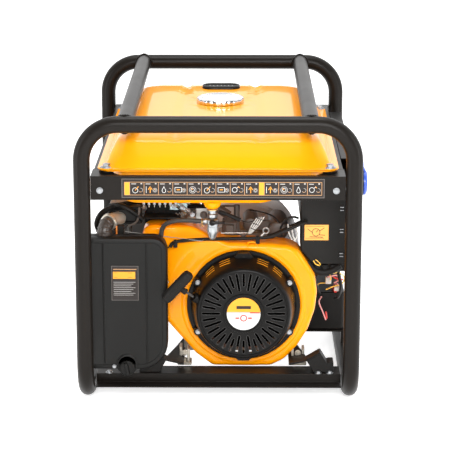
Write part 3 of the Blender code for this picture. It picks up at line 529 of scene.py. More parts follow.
flange_keys = [(0.2275, FRONT_Y + 0.0010, REAR_Y - 0.0010, 0.016, SEAM_Z),
               (0.2285, FRONT_Y, REAR_Y, 0.016, SEAM_Z + 0.0008),
               (0.2285, FRONT_Y, REAR_Y, 0.016, SEAM_Z + 0.0020),
               (0.2278, FRONT_Y + 0.0007, REAR_Y - 0.0007, 0.016, SEAM_Z + 0.0026)]
dome_keys = [(0.2180, FRONT_Y + 0.0035, 0.2650, 0.020, SEAM_Z + 0.0028),
             (0.2140, FRONT_Y + 0.0060, 0.2620, 0.022, SEAM_Z + 0.0050),
             (0.2060, FRONT_Y + 0.0230, 0.2545, 0.024, SEAM_Z + 0.0240),
             (0.1975, FRONT_Y + 0.0400, 0.2480, 0.026, SEAM_Z + 0.0400),
             (0.1925, FRONT_Y + 0.0485, 0.2440, 0.028, SEAM_Z + 0.0470),
             (0.1845, FRONT_Y + 0.0590, 0.2380, 0.030, SEAM_Z + 0.0512),
             (0.1700, FRONT_Y + 0.0760, 0.2290, 0.034, SEAM_Z + 0.0540),
             (0.1400, FRONT_Y + 0.1100, 0.2050, 0.040, SEAM_Z + 0.0560),
             (0.0950, FRONT_Y + 0.1600, 0.1600, 0.040, SEAM_Z + 0.0570),
             (0.0150, FRONT_Y + 0.2700, 0.0400, 0.012, SEAM_Z + 0.0575)]
bm = bmesh.new()
sizes_in_order = flange_keys + between(dome_keys, 8)
loft(bm, [[press_top(p) for p in rounded_loop(*sizes)] for sizes in sizes_in_order])
bmesh.ops.triangulate(bm, faces=[f for f in bm.faces if len(f.verts) > 4])
piece("tank_top", bm, ENAMEL, stands_for=["tank_upper_shell"], sharp=60)

VALVE_X = -0.0118
VALVE_Y = -0.285
pan_keys = [(0.2285, FRONT_Y, REAR_Y, 0.030, SEAM_Z - 0.0003), (0.2285, FRONT_Y, REAR_Y, 0.030, SEAM_Z
                                                                - 0.0025), (0.2270, FRONT_Y + 0.0015, REAR_Y
                                                                            - 0.0015, 0.030, SEAM_Z
                                                                            - 0.0029),
            (0.2120, FRONT_Y + 0.0035, 0.2640, 0.038, SEAM_Z - 0.0031), (0.2065, FRONT_Y + 0.0060, 0.2600,
                                                                         0.040, SEAM_Z - 0.0060),
            (0.1960, FRONT_Y + 0.0160, 0.2520, 0.040, SEAM_Z - 0.0370), (0.1900, FRONT_Y + 0.0220, 0.2470,
                                                                         0.040, SEAM_Z - 0.0440),
            (0.1800, FRONT_Y + 0.0320, 0.2380, 0.038, SEAM_Z - 0.0470), (0.0900, FRONT_Y + 0.1300, 0.1400,
                                                                         0.030, SEAM_Z - 0.0472)]
bm = bmesh.new()
loft(bm, [rounded_loop(*sizes) for sizes in pan_keys])


def sump_loop(left, right, front, back, radius, z):
    shift = (left + right) / 2
    loop = rounded_loop((right - left) / 2, front, back, radius, z, 20, 14, 6)
    return [p + Vector((shift, 0, 0)) for p in loop]


sump_sizes = [(-0.1900, 0.1330, -0.3200, 0.2200, 0.030, SEAM_Z - 0.0440),
              (-0.1870, 0.1290, -0.3190, 0.2190, 0.030, SEAM_Z - 0.0500),
              (-0.1820, 0.1130, -0.3130, 0.2110, 0.030, SEAM_Z - 0.0660),
              (-0.1790, 0.1030, -0.3090, 0.2060, 0.030, SEAM_Z - 0.0715),
              (-0.1700, 0.0930, -0.2990, 0.1960, 0.028, SEAM_Z - 0.0730)]
loft(bm, [sump_loop(*sizes) for sizes in sump_sizes])
add_turned(bm, [(0.0260, 0.3925), (0.0200, 0.3905), (0.0175, 0.3870), (0.0165, 0.3830), (0.0145, 0.3790),
                (0.0110, 0.3758), (0.0070, 0.3746)], at(VALVE_X, VALVE_Y, 0), (0, 0, 1), 32)
piece("tank_pan", bm, ENAMEL, stands_for=["tank_lower_shell"], sharp=50)

# Flange bolts with rubber mounts under them, on the brackets' seats.
bm = bmesh.new()
pads = bmesh.new()
for x, y in ((-0.2115, -0.330), (0.2115, -0.330), (-0.2150, 0.262), (0.2150, 0.262)):
    place = at(x, y, SEAM_Z + 0.0026)
    add_turned(bm, [(0.0125, 0), (0.0125, 0.0012), (0.0118, 0.0016)], place, (0, 0, 1), 28)
    add_bolt(bm, place + Vector((0, 0, 0.0014)), (0, 0, 1), 0.0072, 0.0062, washer=1.35)
    add_turned(pads, [(0.0138, -0.0062), (0.0142, -0.0050), (0.0142, -0.0036), (0.0130, -0.0032)],
               at(x, y, SEAM_Z), (0, 0, 1), 28)
piece("tank_bolts", bm, ZINC)
RUBBER = surface("black_rubber", (0.0070, 0.0062, 0.0055), 0.52, grain=1400, relief=0.00003, mottle=0.12,
                 dust=0.025, shine=0.16)
piece("tank_mounts", pads, RUBBER)


# ---------------------------------------------------------------- filler cap and fuel gauge
# The cap is pressed steel, chromed, with a scalloped rim for the fingers; its rubber gasket plugs the neck.
# The gauge is a black moulding with a sunk window and a white scale, its stem clamped through the tank's top.
CHROME = surface("chrome_plate", (0.66, 0.67, 0.69), 0.20, 1.0, grain=90, relief=0.00001, mottle=0.04,
                 dust=0.03)
CAP_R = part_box("fuel_cap")[1].x - FILLER.x
CAP_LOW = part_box("fuel_cap")[0].z
CAP_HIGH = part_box("fuel_cap")[1].z
SCALLOPS = 14
cap_profile = [(0.930, 0.06, 0.0), (0.985, 0.0, 1.0), (1.0, 0.12, 1.0), (1.0, 0.55, 1.0),
               (0.985, 0.70, 0.9), (0.955, 0.80, 0.6), (0.915, 0.86, 0.2), (0.86, 0.90, 0.0),
               (0.82, 0.93, 0.0), (0.80, 0.89, 0.0), (0.74, 0.90, 0.0), (0.45, 0.97, 0.0), (0.15, 1.0, 0.0)]
bm = bmesh.new()
loops = []
for share, height, scallop in cap_profile:
    loop = []
    for i in range(SCALLOPS * 12):
        a = math.tau * i / (SCALLOPS * 12)
        dip = (0.5 - 0.5 * math.cos(SCALLOPS * a)) ** 1.8
        r = CAP_R * (share - 0.026 * scallop * dip)
        loop.append(Vector((FILLER.x + r * math.cos(a), FILLER.y + r * math.sin(a),
                            CAP_LOW + height * (CAP_HIGH - CAP_LOW))))
    loops.append(loop)
loft(bm, loops)
piece("fuel_cap_chrome", bm, CHROME, body="cap_shell", stands_for=["fuel_cap"], sharp=50)
from_cad("cap_gasket", RUBBER, 0.0008, body="cap_body")
bm = bmesh.new()
add_turned(bm, [(0.0362, SEAM_Z + 0.056), (0.0362, 0.5272), (0.0372, 0.5280), (0.0362, 0.5289),
                (0.0328, 0.5289), (0.0325, 0.5280), (0.0325, SEAM_Z + 0.040)], at(0.0, 0.030, 0), (0, 0, 1),
           48)
piece("filler_neck", bm, ZINC)

BLACK_MOULDING = surface("black_moulding", (0.0065, 0.0058, 0.0050), 0.42, grain=1100, relief=0.00006,
                         mottle=0.14, dust=0.020, shine=0.16)
WHITE_INK = surface("white_ink", (0.62, 0.62, 0.60), 0.5, dust=0.0, mottle=0.03)
YELLOW_INK = surface("yellow_ink", (0.74, 0.30, 0.004), 0.5, dust=0.0, mottle=0.03)
GAUGE_Y = 0.185
GAUGE_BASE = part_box("fuel_cap")[0].z - 0.0012
GAUGE_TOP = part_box("fuel_gauge")[1].z
bm = bmesh.new()
gauge_sizes = [(0.0405, 0.1605, 0.2095, 0.0200, GAUGE_BASE), (0.0410, 0.1600, 0.2100, 0.0200, GAUGE_BASE
                                                              + 0.001), (0.0400, 0.1610, 0.2090, 0.0195,
                                                                         GAUGE_TOP - 0.0012),
               (0.0388, 0.1622, 0.2078, 0.0190, GAUGE_TOP), (0.0340, 0.1670, 0.2030, 0.0160, GAUGE_TOP),
               (0.0330, 0.1680, 0.2020, 0.0155, GAUGE_TOP - 0.0022), (0.0180, 0.1780, 0.1920, 0.0065,
                                                                      GAUGE_TOP - 0.0026)]
loft(bm, [rounded_loop(*sizes, 8, 12, 8) for sizes in gauge_sizes])
add_turned(bm, [(0.0160, SEAM_Z + 0.030), (0.0160, GAUGE_BASE + 0.001)], at(0, GAUGE_Y, 0), (0, 0, 1), 24)
add_turned(bm, [(0.0060, 0.4200), (0.0060, SEAM_Z + 0.031)], at(0, GAUGE_Y, 0), (0, 0, 1), 12)
piece("fuel_gauge_body", bm, BLACK_MOULDING, stands_for=["fuel_gauge"], sharp=40)
bm = bmesh.new()
for step in range(7):
    x = -0.024 + 0.008 * step
    tall = 0.0055 if step % 3 == 0 else 0.0032
    loft(bm, [[at(x - 0.0007, GAUGE_Y + 0.002, z), at(x + 0.0007, GAUGE_Y + 0.002, z),
               at(x + 0.0007, GAUGE_Y + 0.002 + tall, z), at(x - 0.0007, GAUGE_Y + 0.002 + tall, z)]
              for z in (GAUGE_TOP - 0.0025, GAUGE_TOP - 0.0021)])
piece("gauge_scale", bm, WHITE_INK)


# ---------------------------------------------------------------- picture strip on the front plate
# A thin printed plate stuck over the front bracket: dark cells with working pictures, and two yellow tabs.
# The pictures are plain strokes: rings, bars, arrows and boxes, with no lettering.
PLATE_BROWN = surface("plate_print_dark", (0.014, 0.009, 0.007), 0.38, dust=0.03, mottle=0.05, shine=0.3)
PLATE_EDGE = surface("plate_edge", (0.10, 0.085, 0.075), 0.35, dust=0.05, mottle=0.05)
LINE_BROWN = surface("plate_print_lines", (0.42, 0.22, 0.09), 0.4, dust=0.0, mottle=0.03)
GREY_INK = surface("grey_ink", (0.42, 0.40, 0.38), 0.5, dust=0.0, mottle=0.03)
STRIP_Y = -PLATE_Y - 0.0001


def add_flat(bm, x0, x1, z0, z1, y, thick, slot=0):
    """A thin upright slab facing the recoil end."""
    loft(bm, [[at(x0, d, z0), at(x1, d, z0), at(x1, d, z1), at(x0, d, z1)] for d in (y, y - thick)],
         slot=slot)


def add_stroke(bm, start, end, width, y, thick, slot=0):
    """A thin straight stroke between two (x, z) points."""
    start, end = Vector(start), Vector(end)
    side = (end - start).normalized().orthogonal() * width / 2
    quad = [start + side, end + side, end - side, start - side]
    loft(bm, [[at(p.x, d, p.y) for p in quad] for d in (y, y - thick)], slot=slot)


def add_ring(bm, centre, radius, width, y, thick, slot=0, start=0, span=360, sides=20):
    """A thin ring, or an arc of one, about an (x, z) point."""
    steps = max(int(sides * span / 360), 3)
    for step in range(steps):
        corners = []
        for r, k in ((radius - width / 2, step), (radius + width / 2, step), (radius + width / 2, step + 1),
                     (radius - width / 2, step + 1)):
            a = math.radians(start + span * k / steps)
            corners.append((centre[0] + r * math.cos(a), centre[1] + r * math.sin(a)))
        loft(bm, [[at(u, d, v) for u, v in corners] for d in (y, y - thick)], slot=slot)


def picture(bm, kind, x, z, y, scale=1.0):
    """One working picture about (x, z), of half height s, stroke width w and thickness t.

    Slots: 3 white, 4 yellow, 5 grey.
    """
    s = 0.0062 * scale
    w = 0.00085 * scale
    t = 0.00025
    if kind == "lever":
        add_ring(bm, (x, z - s * 0.2), s * 0.8, w, y, t, 3)
        add_stroke(bm, (x, z - s * 0.2), (x + s, z + s), w * 1.6, y, t, 4)
    elif kind == "drop":
        add_stroke(bm, (x, z + s), (x - s * 0.55, z - s * 0.2), w, y, t, 3)
        add_stroke(bm, (x, z + s), (x + s * 0.55, z - s * 0.2), w, y, t, 3)
        add_ring(bm, (x, z - s * 0.35), s * 0.55, w, y, t, 3, 160, 220)
    elif kind == "arrow_up":
        add_stroke(bm, (x - s, z - s), (x - s, z + s), w, y, t, 3)
        add_stroke(bm, (x + s * 0.2, z - s), (x + s * 0.2, z + s * 0.5), w * 1.8, y, t, 4)
        add_stroke(bm, (x - s * 0.4, z), (x + s * 0.2, z + s), w * 1.3, y, t, 4)
        add_stroke(bm, (x + s * 0.8, z), (x + s * 0.2, z + s), w * 1.3, y, t, 4)
    elif kind == "box":
        for a, b in (((-1, -0.7), (1, -0.7)), ((1, -0.7), (1, 0.7)), ((1, 0.7), (-1, 0.7)),
                     ((-1, 0.7), (-1, -0.7))):
            add_stroke(bm, (x + a[0] * s, z + a[1] * s), (x + b[0] * s, z + b[1] * s), w, y, t, 3)
        add_stroke(bm, (x - s * 0.5, z), (x + s * 0.5, z), w * 1.8, y, t, 4)
    elif kind == "dial":
        add_ring(bm, (x, z), s, w, y, t, 5)
        add_ring(bm, (x, z), s * 0.55, w, y, t, 3)
        add_stroke(bm, (x, z), (x - s * 0.5, z + s * 0.6), w * 1.4, y, t, 4)
    elif kind == "pull":
        add_ring(bm, (x - s * 0.3, z), s * 0.75, w, y, t, 3)
        add_stroke(bm, (x + s * 0.2, z + s * 0.5), (x + s, z + s), w, y, t, 3)
        add_stroke(bm, (x + s * 0.7, z + s * 1.1), (x + s * 1.2, z + s * 0.6), w * 1.6, y, t, 4)
    else:
        add_ring(bm, (x, z), s, w, y, t, 5, 200, 260)
        add_stroke(bm, (x - s * 0.6, z - s * 0.9), (x + s * 0.6, z - s * 0.9), w * 1.6, y, t, 4)


bm = bmesh.new()
STRIP_LEFT, STRIP_RIGHT = -0.1811, 0.2003
STRIP_LOW, STRIP_HIGH = 0.4147, 0.4514
add_flat(bm, STRIP_LEFT, STRIP_RIGHT, STRIP_LOW, STRIP_HIGH, STRIP_Y, 0.0007, 1)
FACE_Y = STRIP_Y - 0.0008
add_flat(bm, STRIP_LEFT + 0.0012, STRIP_RIGHT - 0.0012, STRIP_LOW + 0.0012, STRIP_HIGH - 0.0012, STRIP_Y
         - 0.0006, 0.0002, 0)
CELL_LOW, CELL_HIGH = STRIP_LOW + 0.0055, STRIP_HIGH - 0.0065
TAB = 0.0100
PITCH = 0.0270
cells_left = STRIP_LEFT + 0.0052
rows = [["lever", "arrow_up", "drop", "box", "dial", "lever", "box", "pull", "arrow_up"],
        ["arrow_up", "dial", "drop", "pull"]]
x = cells_left
edges = [x]
for kinds in rows:
    add_flat(bm, x, x + TAB, CELL_LOW, CELL_HIGH, FACE_Y, 0.0003, 4)
    x += TAB
    for kind in kinds:
        edges.append(x)
        add_flat(bm, x + 0.0030, x + 0.0120, CELL_HIGH - 0.0040, CELL_HIGH - 0.0026, FACE_Y, 0.0002, 5)
        add_flat(bm, x + 0.0205, x + 0.0235, CELL_HIGH - 0.0040, CELL_HIGH - 0.0015, FACE_Y, 0.0002, 5)
        picture(bm, kind, x + PITCH * 0.38, (CELL_LOW + CELL_HIGH) / 2 - 0.0022, FACE_Y)
        picture(bm, "dial" if kind in ("arrow_up", "box") else "base", x + PITCH * 0.76,
                (CELL_LOW + CELL_HIGH) / 2 - 0.0030, FACE_Y, 0.62)
        x += PITCH
edges.append(x)
for edge in edges:
    add_flat(bm, edge - 0.0005, edge + 0.0005, CELL_LOW, CELL_HIGH, FACE_Y, 0.0004, 2)
for z in (CELL_LOW, CELL_HIGH):
    add_flat(bm, cells_left, x, z - 0.0005, z + 0.0005, FACE_Y, 0.0004, 2)
piece("picture_strip", bm, [PLATE_BROWN, PLATE_EDGE, LINE_BROWN, WHITE_INK, YELLOW_INK, GREY_INK],
      sharp=30)


# ---------------------------------------------------------------- fan shroud
# Pressed steel volute round the flywheel fan, with an arm over the cylinder, enamelled like the tank.
# Its rim is rounded all the way, the arm's face sits a little back, and the inlet's lip is rolled in.
SHROUD_ENAMEL = surface("shroud_enamel", (0.95, 0.310, 0.0), 0.34, grain=300, relief=0.00001, mottle=0.06,
                        dust=0.03, dust_colour=(0.80, 0.50, 0.22), coat=0.60, mottle_scale=6.0, shine=0.12)
flywheel_low, flywheel_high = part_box("flywheel")
SHAFT = Vector(((flywheel_low.x + flywheel_high.x) / 2, 0, (flywheel_low.z + flywheel_high.z) / 2))
SHROUD_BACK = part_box("fan_shroud")[1].y
SHROUD_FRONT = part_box("fan_shroud")[0].y
RIM_ROUND = 0.011
SPOKES = 240

RIGHT_SIDE = ((0.1030, 0.0470), (0.1290, 0.0600), (0.1550, 0.0880), (0.1760, 0.1230), (0.1890, 0.1620),
              (0.1935, 0.2000), (0.1885, 0.2350), (0.1700, 0.2640), (0.1560, 0.2850), (0.1360, 0.2940))
ARM_TOP = ((0.0900, 0.2985), (0.0160, 0.3005), (-0.0540, 0.3318))
LEFT_SIDE = ((-0.1480, 0.2300), (-0.1180, 0.1580), (-0.0860, 0.1200), (-0.0450, 0.0720), (-0.0120, 0.0470))
arm_end = []
for degrees in range(90, 181, 15):
    a = math.radians(degrees)
    arm_end.append((-0.1320 + 0.018 * math.cos(a), 0.3138 + 0.018 * math.sin(a)))
corners = [Vector((MIDDLE + x - SHAFT.x, z - SHAFT.z)) for x, z in (*RIGHT_SIDE, *ARM_TOP, *arm_end,
                                                                    *LEFT_SIDE)]


def reach_to(outline, direction):
    """How far the outline lies from the middle in a direction."""
    best = 0.0
    for a, b in zip(outline, outline[1:] + outline[:1]):
        edge = b - a
        down = direction.x * edge.y - direction.y * edge.x
        if abs(down) > 1e-9:
            far = (a.x * edge.y - a.y * edge.x) / down
            along = (a.x * direction.y - a.y * direction.x) / down
            if far > 0 and -1e-6 <= along <= 1 + 1e-6:
                best = max(best, far)
    return best


directions = [Vector((math.cos(math.tau * i / SPOKES), math.sin(math.tau * i / SPOKES)))
              for i in range(SPOKES)]
reaches = [reach_to(corners, d) for d in directions]
for _ in range(2):
    reaches = [min((reaches[i - 1] + 2 * r + reaches[(i + 1) % SPOKES]) / 4, r) for i,
               r in enumerate(reaches)]


def shroud_face(distance):
    """Depth of the front face: a rolled swage round the starter, sinking towards the arm."""
    sink = 0.014 * soft_step(distance, 0.148, 0.200)
    swage = 0.0020 * (1 - soft_step(abs(distance - 0.1170), 0.0020, 0.0060))
    return SHROUD_FRONT + 0.0016 + sink - swage


def shroud_loop(share, y):
    """Loop between the rim (share 0) and the inlet (share 1); y None follows the face."""
    loop = []
    for r, d in zip(reaches, directions):
        away = (r - RIM_ROUND) * (1 - share) + 0.1120 * share
        depth = shroud_face(away) if y is None else y
        loop.append(SHAFT + Vector((d.x * away, depth, d.y * away)))
    return loop


loops = []
for y, inset in ((SHROUD_BACK, 0.0016), (SHROUD_BACK, 0.0), (SHROUD_BACK - 0.02, 0.0),
                 (SHROUD_BACK - 0.04, 0.0)):
    loops.append([SHAFT + Vector((d.x * (r - inset), y, d.y * (r - inset))) for r,
                  d in zip(reaches, directions)])
for step in range(7):
    a = math.radians(90 * step / 6)
    loop = []
    for r, d in zip(reaches, directions):
        away = r - RIM_ROUND * (1 - math.cos(a))
        depth = shroud_face(r - RIM_ROUND)
        y = depth + RIM_ROUND * (1 - math.sin(a))
        loop.append(SHAFT + Vector((d.x * away, y, d.y * away)))
    loops.append(loop)
loops += [shroud_loop(step / 24, None) for step in range(1, 25)]
loops.append([SHAFT + Vector((d.x * 0.1100, SHROUD_FRONT + 0.0010, d.y * 0.1100)) for d in directions])
loops.append([SHAFT + Vector((d.x * 0.1030, SHROUD_FRONT + 0.0040, d.y * 0.1030)) for d in directions])
loops.append([SHAFT + Vector((d.x * 0.1015, SHROUD_FRONT + 0.0090, d.y * 0.1015)) for d in directions])
bm = bmesh.new()
loft(bm, loops, caps=False)
shell = piece("fan_shroud_shell", bm, SHROUD_ENAMEL, stands_for=["fan_shroud"], sharp=50)
wall = shell.modifiers.new("sheet", "SOLIDIFY")
wall.thickness = 0.0016
wall.offset = -1

# The clip that holds the loom: a small enamelled staple on the shroud's top edge.
bm = bmesh.new()
staple = curve(((0.0570, -0.2640, 0.2900), (0.0570, -0.2680, 0.2990), (0.0600, -0.2700, 0.3030),
                (0.0710, -0.2700, 0.3030), (0.0740, -0.2680, 0.2990), (0.0740, -0.2640, 0.2880)), 4)
sweep(bm, staple, 0.0017, 8)
piece("loom_staple", bm, SHROUD_ENAMEL)


# ---------------------------------------------------------------- recoil starter
# A black glass-filled moulding over the flywheel: a slotted dish on a sloping wall with louvred windows,
# on a flange with four bolted bosses.  Slots and louvres go right through, and the fan shows in them,
# black and made darker still as painted shade.
def copier():
    """Geometry nodes that set out copies: copy i is turned by Start + i Turn and moved by i Step."""
    tree = bpy.data.node_groups.new("set_out_copies", "GeometryNodeTree")
    face = tree.interface
    face.new_socket(name="Piece", in_out="INPUT", socket_type="NodeSocketObject")
    face.new_socket(name="Count", in_out="INPUT", socket_type="NodeSocketInt")
    for name in ("Start", "Turn", "Step", "Centre"):
        face.new_socket(name=name, in_out="INPUT", socket_type="NodeSocketVector")
    face.new_socket(name="Material", in_out="INPUT", socket_type="NodeSocketMaterial")
    face.new_socket(name="Geometry", in_out="OUTPUT", socket_type="NodeSocketGeometry")
    new = tree.nodes.new
    given, result = new("NodeGroupInput"), new("NodeGroupOutput")
    source, spots = new("GeometryNodeObjectInfo"), new("GeometryNodePoints")
    number = new("GeometryNodeInputIndex")
    turn, angle, step = new("ShaderNodeVectorMath"), new("ShaderNodeVectorMath"), new("ShaderNodeVectorMath")
    turn.operation, angle.operation, step.operation = "SCALE", "ADD", "SCALE"
    place, rotation = new("ShaderNodeVectorMath"), new("FunctionNodeEulerToRotation")
    setter, copies_made = new("GeometryNodeSetPosition"), new("GeometryNodeInstanceOnPoints")
    solid, painted = new("GeometryNodeRealizeInstances"), new("GeometryNodeSetMaterial")
    join(tree, (given, "Piece", source, "Object"), (given, "Count", spots, "Count"),
         (given, "Turn", turn, 0), (number, 0, turn, "Scale"), (turn, 0, angle, 0),
         (given, "Start", angle, 1), (angle, 0, rotation, 0), (given, "Step", step, 0),
         (number, 0, step, "Scale"), (step, 0, place, 0), (given, "Centre", place, 1),
         (spots, 0, setter, "Geometry"), (place, 0, setter, "Position"), (setter, 0, copies_made, "Points"),
         (source, "Geometry", copies_made, "Instance"), (rotation, 0, copies_made, "Rotation"),
         (copies_made, 0, solid, 0), (solid, 0, painted, "Geometry"), (given, "Material", painted,
                                                                       "Material"), (painted, 0, result, 0))
    return tree


COPIER = copier()


def copies(source, count, material, centre=(0, 0, 0), turn=(0, 0, 0), step=(0, 0, 0), start=(0, 0, 0)):
    """Sets out copies of a bmesh and gives them back as one plain mesh."""
    mesh = bpy.data.meshes.new("copied")
    bmesh.ops.recalc_face_normals(source, faces=source.faces)
    source.to_mesh(mesh)
    source.free()
    pattern = bpy.data.objects.new("pattern", mesh)
    holder = bpy.data.objects.new("holder", bpy.data.meshes.new("holder"))
    for thing in (pattern, holder):
        bpy.context.scene.collection.objects.link(thing)
    modifier = holder.modifiers.new("copies", "NODES")
    modifier.node_group = COPIER
    values = {"Piece": pattern, "Count": count, "Start": start, "Turn": turn, "Step": step, "Centre": centre,
              "Material": material}
    for item in COPIER.interface.items_tree:
        if item.in_out == "INPUT":
            modifier[item.identifier] = values[item.name]
    bpy.context.view_layer.update()
    seen = holder.evaluated_get(bpy.context.evaluated_depsgraph_get())
    result = bpy.data.meshes.new_from_object(seen)
    bpy.data.objects.remove(holder)
    bpy.data.objects.remove(pattern)
    return result


def cut(target, cutters):
    """Boolean difference of two closed bmeshes, given back as a bmesh."""
    things = []
    for source in (target, cutters):
        mesh = bpy.data.meshes.new("cutting")
        bmesh.ops.remove_doubles(source, verts=source.verts, dist=0.000002)
        bmesh.ops.recalc_face_normals(source, faces=source.faces)
        source.to_mesh(mesh)
        source.free()
        thing = bpy.data.objects.new("cutting", mesh)
        bpy.context.scene.collection.objects.link(thing)
        things.append(thing)
    modifier = things[0].modifiers.new("cut", "BOOLEAN")
    modifier.object = things[1]
    bpy.context.view_layer.update()
    seen = things[0].evaluated_get(bpy.context.evaluated_depsgraph_get())
    result = bmesh.new()
    result.from_mesh(bpy.data.meshes.new_from_object(seen))
    for thing in things:
        bpy.data.objects.remove(thing)
    return result


def slot_cutter(inner, outer, half, near, far):
    """A round-ended slot along +X from the shaft, running through from one depth to another."""
    outline = []
    for degrees in range(-90, 91, 30):
        a = math.radians(degrees)
        outline.append((outer - half + half * math.cos(a), half * math.sin(a)))
    for degrees in range(90, 271, 30):
        a = math.radians(degrees)
        outline.append((inner + half + half * math.cos(a), half * math.sin(a)))
    source = bmesh.new()
    loft(source, [[Vector((u, y, v)) for u, v in outline] for y in (near, far)])
    return source


RECOIL_BLACK = surface("starter_moulding", (0.0040, 0.0036, 0.0032), 0.34, grain=900, relief=0.00004,
                       mottle=0.12, dust=0.008, shine=0.13)
FACE_OUT = -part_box("recoil_housing")[0].y
RING_BACK = -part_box("recoil_housing")[1].y
dish = [(0.1030, RING_BACK + 0.0055), (0.1018, RING_BACK + 0.0110), (0.0940, FACE_OUT - 0.0140),
        (0.0918, FACE_OUT - 0.0075), (0.0896, FACE_OUT - 0.0032), (0.0872, FACE_OUT - 0.0012),
        (0.0850, FACE_OUT - 0.0008), (0.0838, FACE_OUT - 0.0024), (0.0400, FACE_OUT - 0.0026),
        (0.0392, FACE_OUT - 0.0002), (0.0362, FACE_OUT), (0.0352, FACE_OUT - 0.0014),
        (0.0010, FACE_OUT - 0.0014), (0.0010, FACE_OUT - 0.0055), (0.0840, FACE_OUT - 0.0055),
        (0.0880, FACE_OUT - 0.0090), (0.0915, FACE_OUT - 0.0160), (0.0992, RING_BACK + 0.0110),
        (0.1002, RING_BACK + 0.0055)]
bm = bmesh.new()
add_turned(bm, dish, SHAFT, (0, -1, 0), 144, ring=True)
cutters = bmesh.new()
SLOT_STEP = math.radians(20)
SLOT_HALF = 0.0026
SLOT_OUTER = 0.0816
SLOT_INNERS = ((0.0450, 0.0), (0.0540, SLOT_STEP / 2))
for inner_end, offset in SLOT_INNERS:
    pattern = slot_cutter(inner_end, SLOT_OUTER, SLOT_HALF, -FACE_OUT - 0.004, -FACE_OUT + 0.0075)
    made = copies(pattern, 18, RECOIL_BLACK, SHAFT, turn=(0, SLOT_STEP, 0), start=(0, offset, 0))
    cutters.from_mesh(made)


def four_corners(wide, high):
    """Corners of a rectangle of a half width and half height."""
    return (-wide, -high), (wide, -high), (wide, high), (-wide, high)


# Windows come in pairs round the wall, each of three louvre slots, with an enamelled lip behind them.
WINDOW_PAIRS = (-9, 48, 112, 169, 228, 292)
LOUVRE_DEPTH, LOUVRE_PITCH = 0.0135, 0.0088
for number in range(3):
    y = -RING_BACK - LOUVRE_DEPTH - LOUVRE_PITCH * number
    for first in WINDOW_PAIRS:
        pattern = bmesh.new()
        loft(pattern, [[Vector((u, y + v, w)) for v, w in four_corners(0.0020, 0.0112)]
                       for u in (0.086, 0.106)])
        made = copies(pattern, 2, RECOIL_BLACK, SHAFT, turn=(0, math.radians(-20), 0),
                      start=(0, math.radians(-first), 0))
        cutters.from_mesh(made)
bm = cut(bm, cutters)
# The slots' rims are a lighter grey than the moulding: a painted highlight along each slot's edge.
PAINTED_RIM_HIGHLIGHT = surface("painted_rim_highlight", (0.040, 0.038, 0.036), 0.30, dust=0.0, shine=0.5)
rims = bmesh.new()
for inner_end, offset in SLOT_INNERS:
    pattern = bmesh.new()
    ends = [(inner_end + SLOT_HALF * (1 + math.cos(a)), SLOT_HALF * math.sin(a))
            for a in (math.radians(90 + 30 * i) for i in range(7))]
    ends += [(SLOT_OUTER - SLOT_HALF * (1 - math.cos(a)), SLOT_HALF * math.sin(a))
             for a in (math.radians(-90 + 30 * i) for i in range(7))]
    sweep(pattern, [Vector((u, 0.0026 - FACE_OUT, v)) for u, v in ends], 0.00032, 6, ring=True)
    rims.from_mesh(copies(pattern, 18, PAINTED_RIM_HIGHLIGHT, SHAFT, turn=(0, SLOT_STEP, 0), start=(0, offset, 0)))
piece("slot_rims", rims, PAINTED_RIM_HIGHLIGHT)
piece("recoil_dish", bm, RECOIL_BLACK, stands_for=["recoil_housing"], sharp=32,
      bevel=0.0004)

bm = bmesh.new()
bolts = bmesh.new()
flange = [(0.1110, RING_BACK), (0.1112, RING_BACK + 0.0045), (0.1100, RING_BACK + 0.0062),
          (0.1080, RING_BACK + 0.0066), (0.1036, RING_BACK + 0.0068), (0.1022, RING_BACK + 0.0064),
          (0.1000, RING_BACK + 0.0050), (0.1000, RING_BACK)]
add_turned(bm, flange, SHAFT, (0, -1, 0), 144, ring=True)
LUG_REACH = 0.1025
LUG_ANGLES = (29.3, 150.7, 209.3, 330.7)
BOSS_TOP = RING_BACK + 0.0200
for degrees in LUG_ANGLES:
    a = math.radians(degrees)
    spot = SHAFT + LUG_REACH * Vector((math.cos(a), 0, math.sin(a)))
    add_turned(bm, [(0.0096, RING_BACK + 0.003), (0.0082, BOSS_TOP - 0.0010), (0.0076, BOSS_TOP)], spot,
               (0, -1, 0), 28)
    add_bolt(bolts, spot + Vector((0, 0.0001 - BOSS_TOP, 0)), (0, -1, 0), 0.0043, 0.0046, washer=1.2)
# V-shaped webs at the top and bottom of the flange carry the pulling-off holes,
# each drawn as a flat black disc of painted shade.
for side in (1, -1):
    web = [(-0.0190, 0.1020), (-0.0075, 0.0960), (0, 0.0925), (0.0075, 0.0960), (0.0190, 0.1020),
           (0.0100, 0.1095), (-0.0100, 0.1095)]
    loft(bm, [[SHAFT + Vector((u, -y, side * v)) for u, v in web] for y in (RING_BACK + 0.004, BOSS_TOP)])
    hole = SHAFT + Vector((0, 0.0001 - BOSS_TOP, side * 0.1015))
    add_turned(bm, [(0.0026, 0), (0.0026, 0.0003)], hole, (0, -1, 0), 16, slot=1)
eyelet_out = Vector((-0.7076, -0.3963, 0.5850)).normalized()
GRIP = at(-0.0784, -0.3410, 0.2335)
EYELET = GRIP - 0.0417 * eyelet_out
add_turned(bm, [(0.0090, -0.026), (0.0088, -0.006), (0.0098, -0.0045), (0.0098, -0.0005), (0.0082, 0.0),
                (0.0045, -0.0005), (0.0036, -0.003)], EYELET, eyelet_out, 28)
for turn in (-14, 10):
    a = math.radians(153 + turn)
    foot = SHAFT + Vector((0.099 * math.cos(a), -RING_BACK - 0.006, 0.099 * math.sin(a)))
    sweep(bm, [foot, foot.lerp(EYELET - 0.012 * eyelet_out, 0.9)], [0.0050, 0.0040], 10)
piece("recoil_flange", bm, [RECOIL_BLACK, PAINTED_HOLE_SHADE], sharp=32)
piece("recoil_bolts", bolts, ZINC)
bm = bmesh.new()
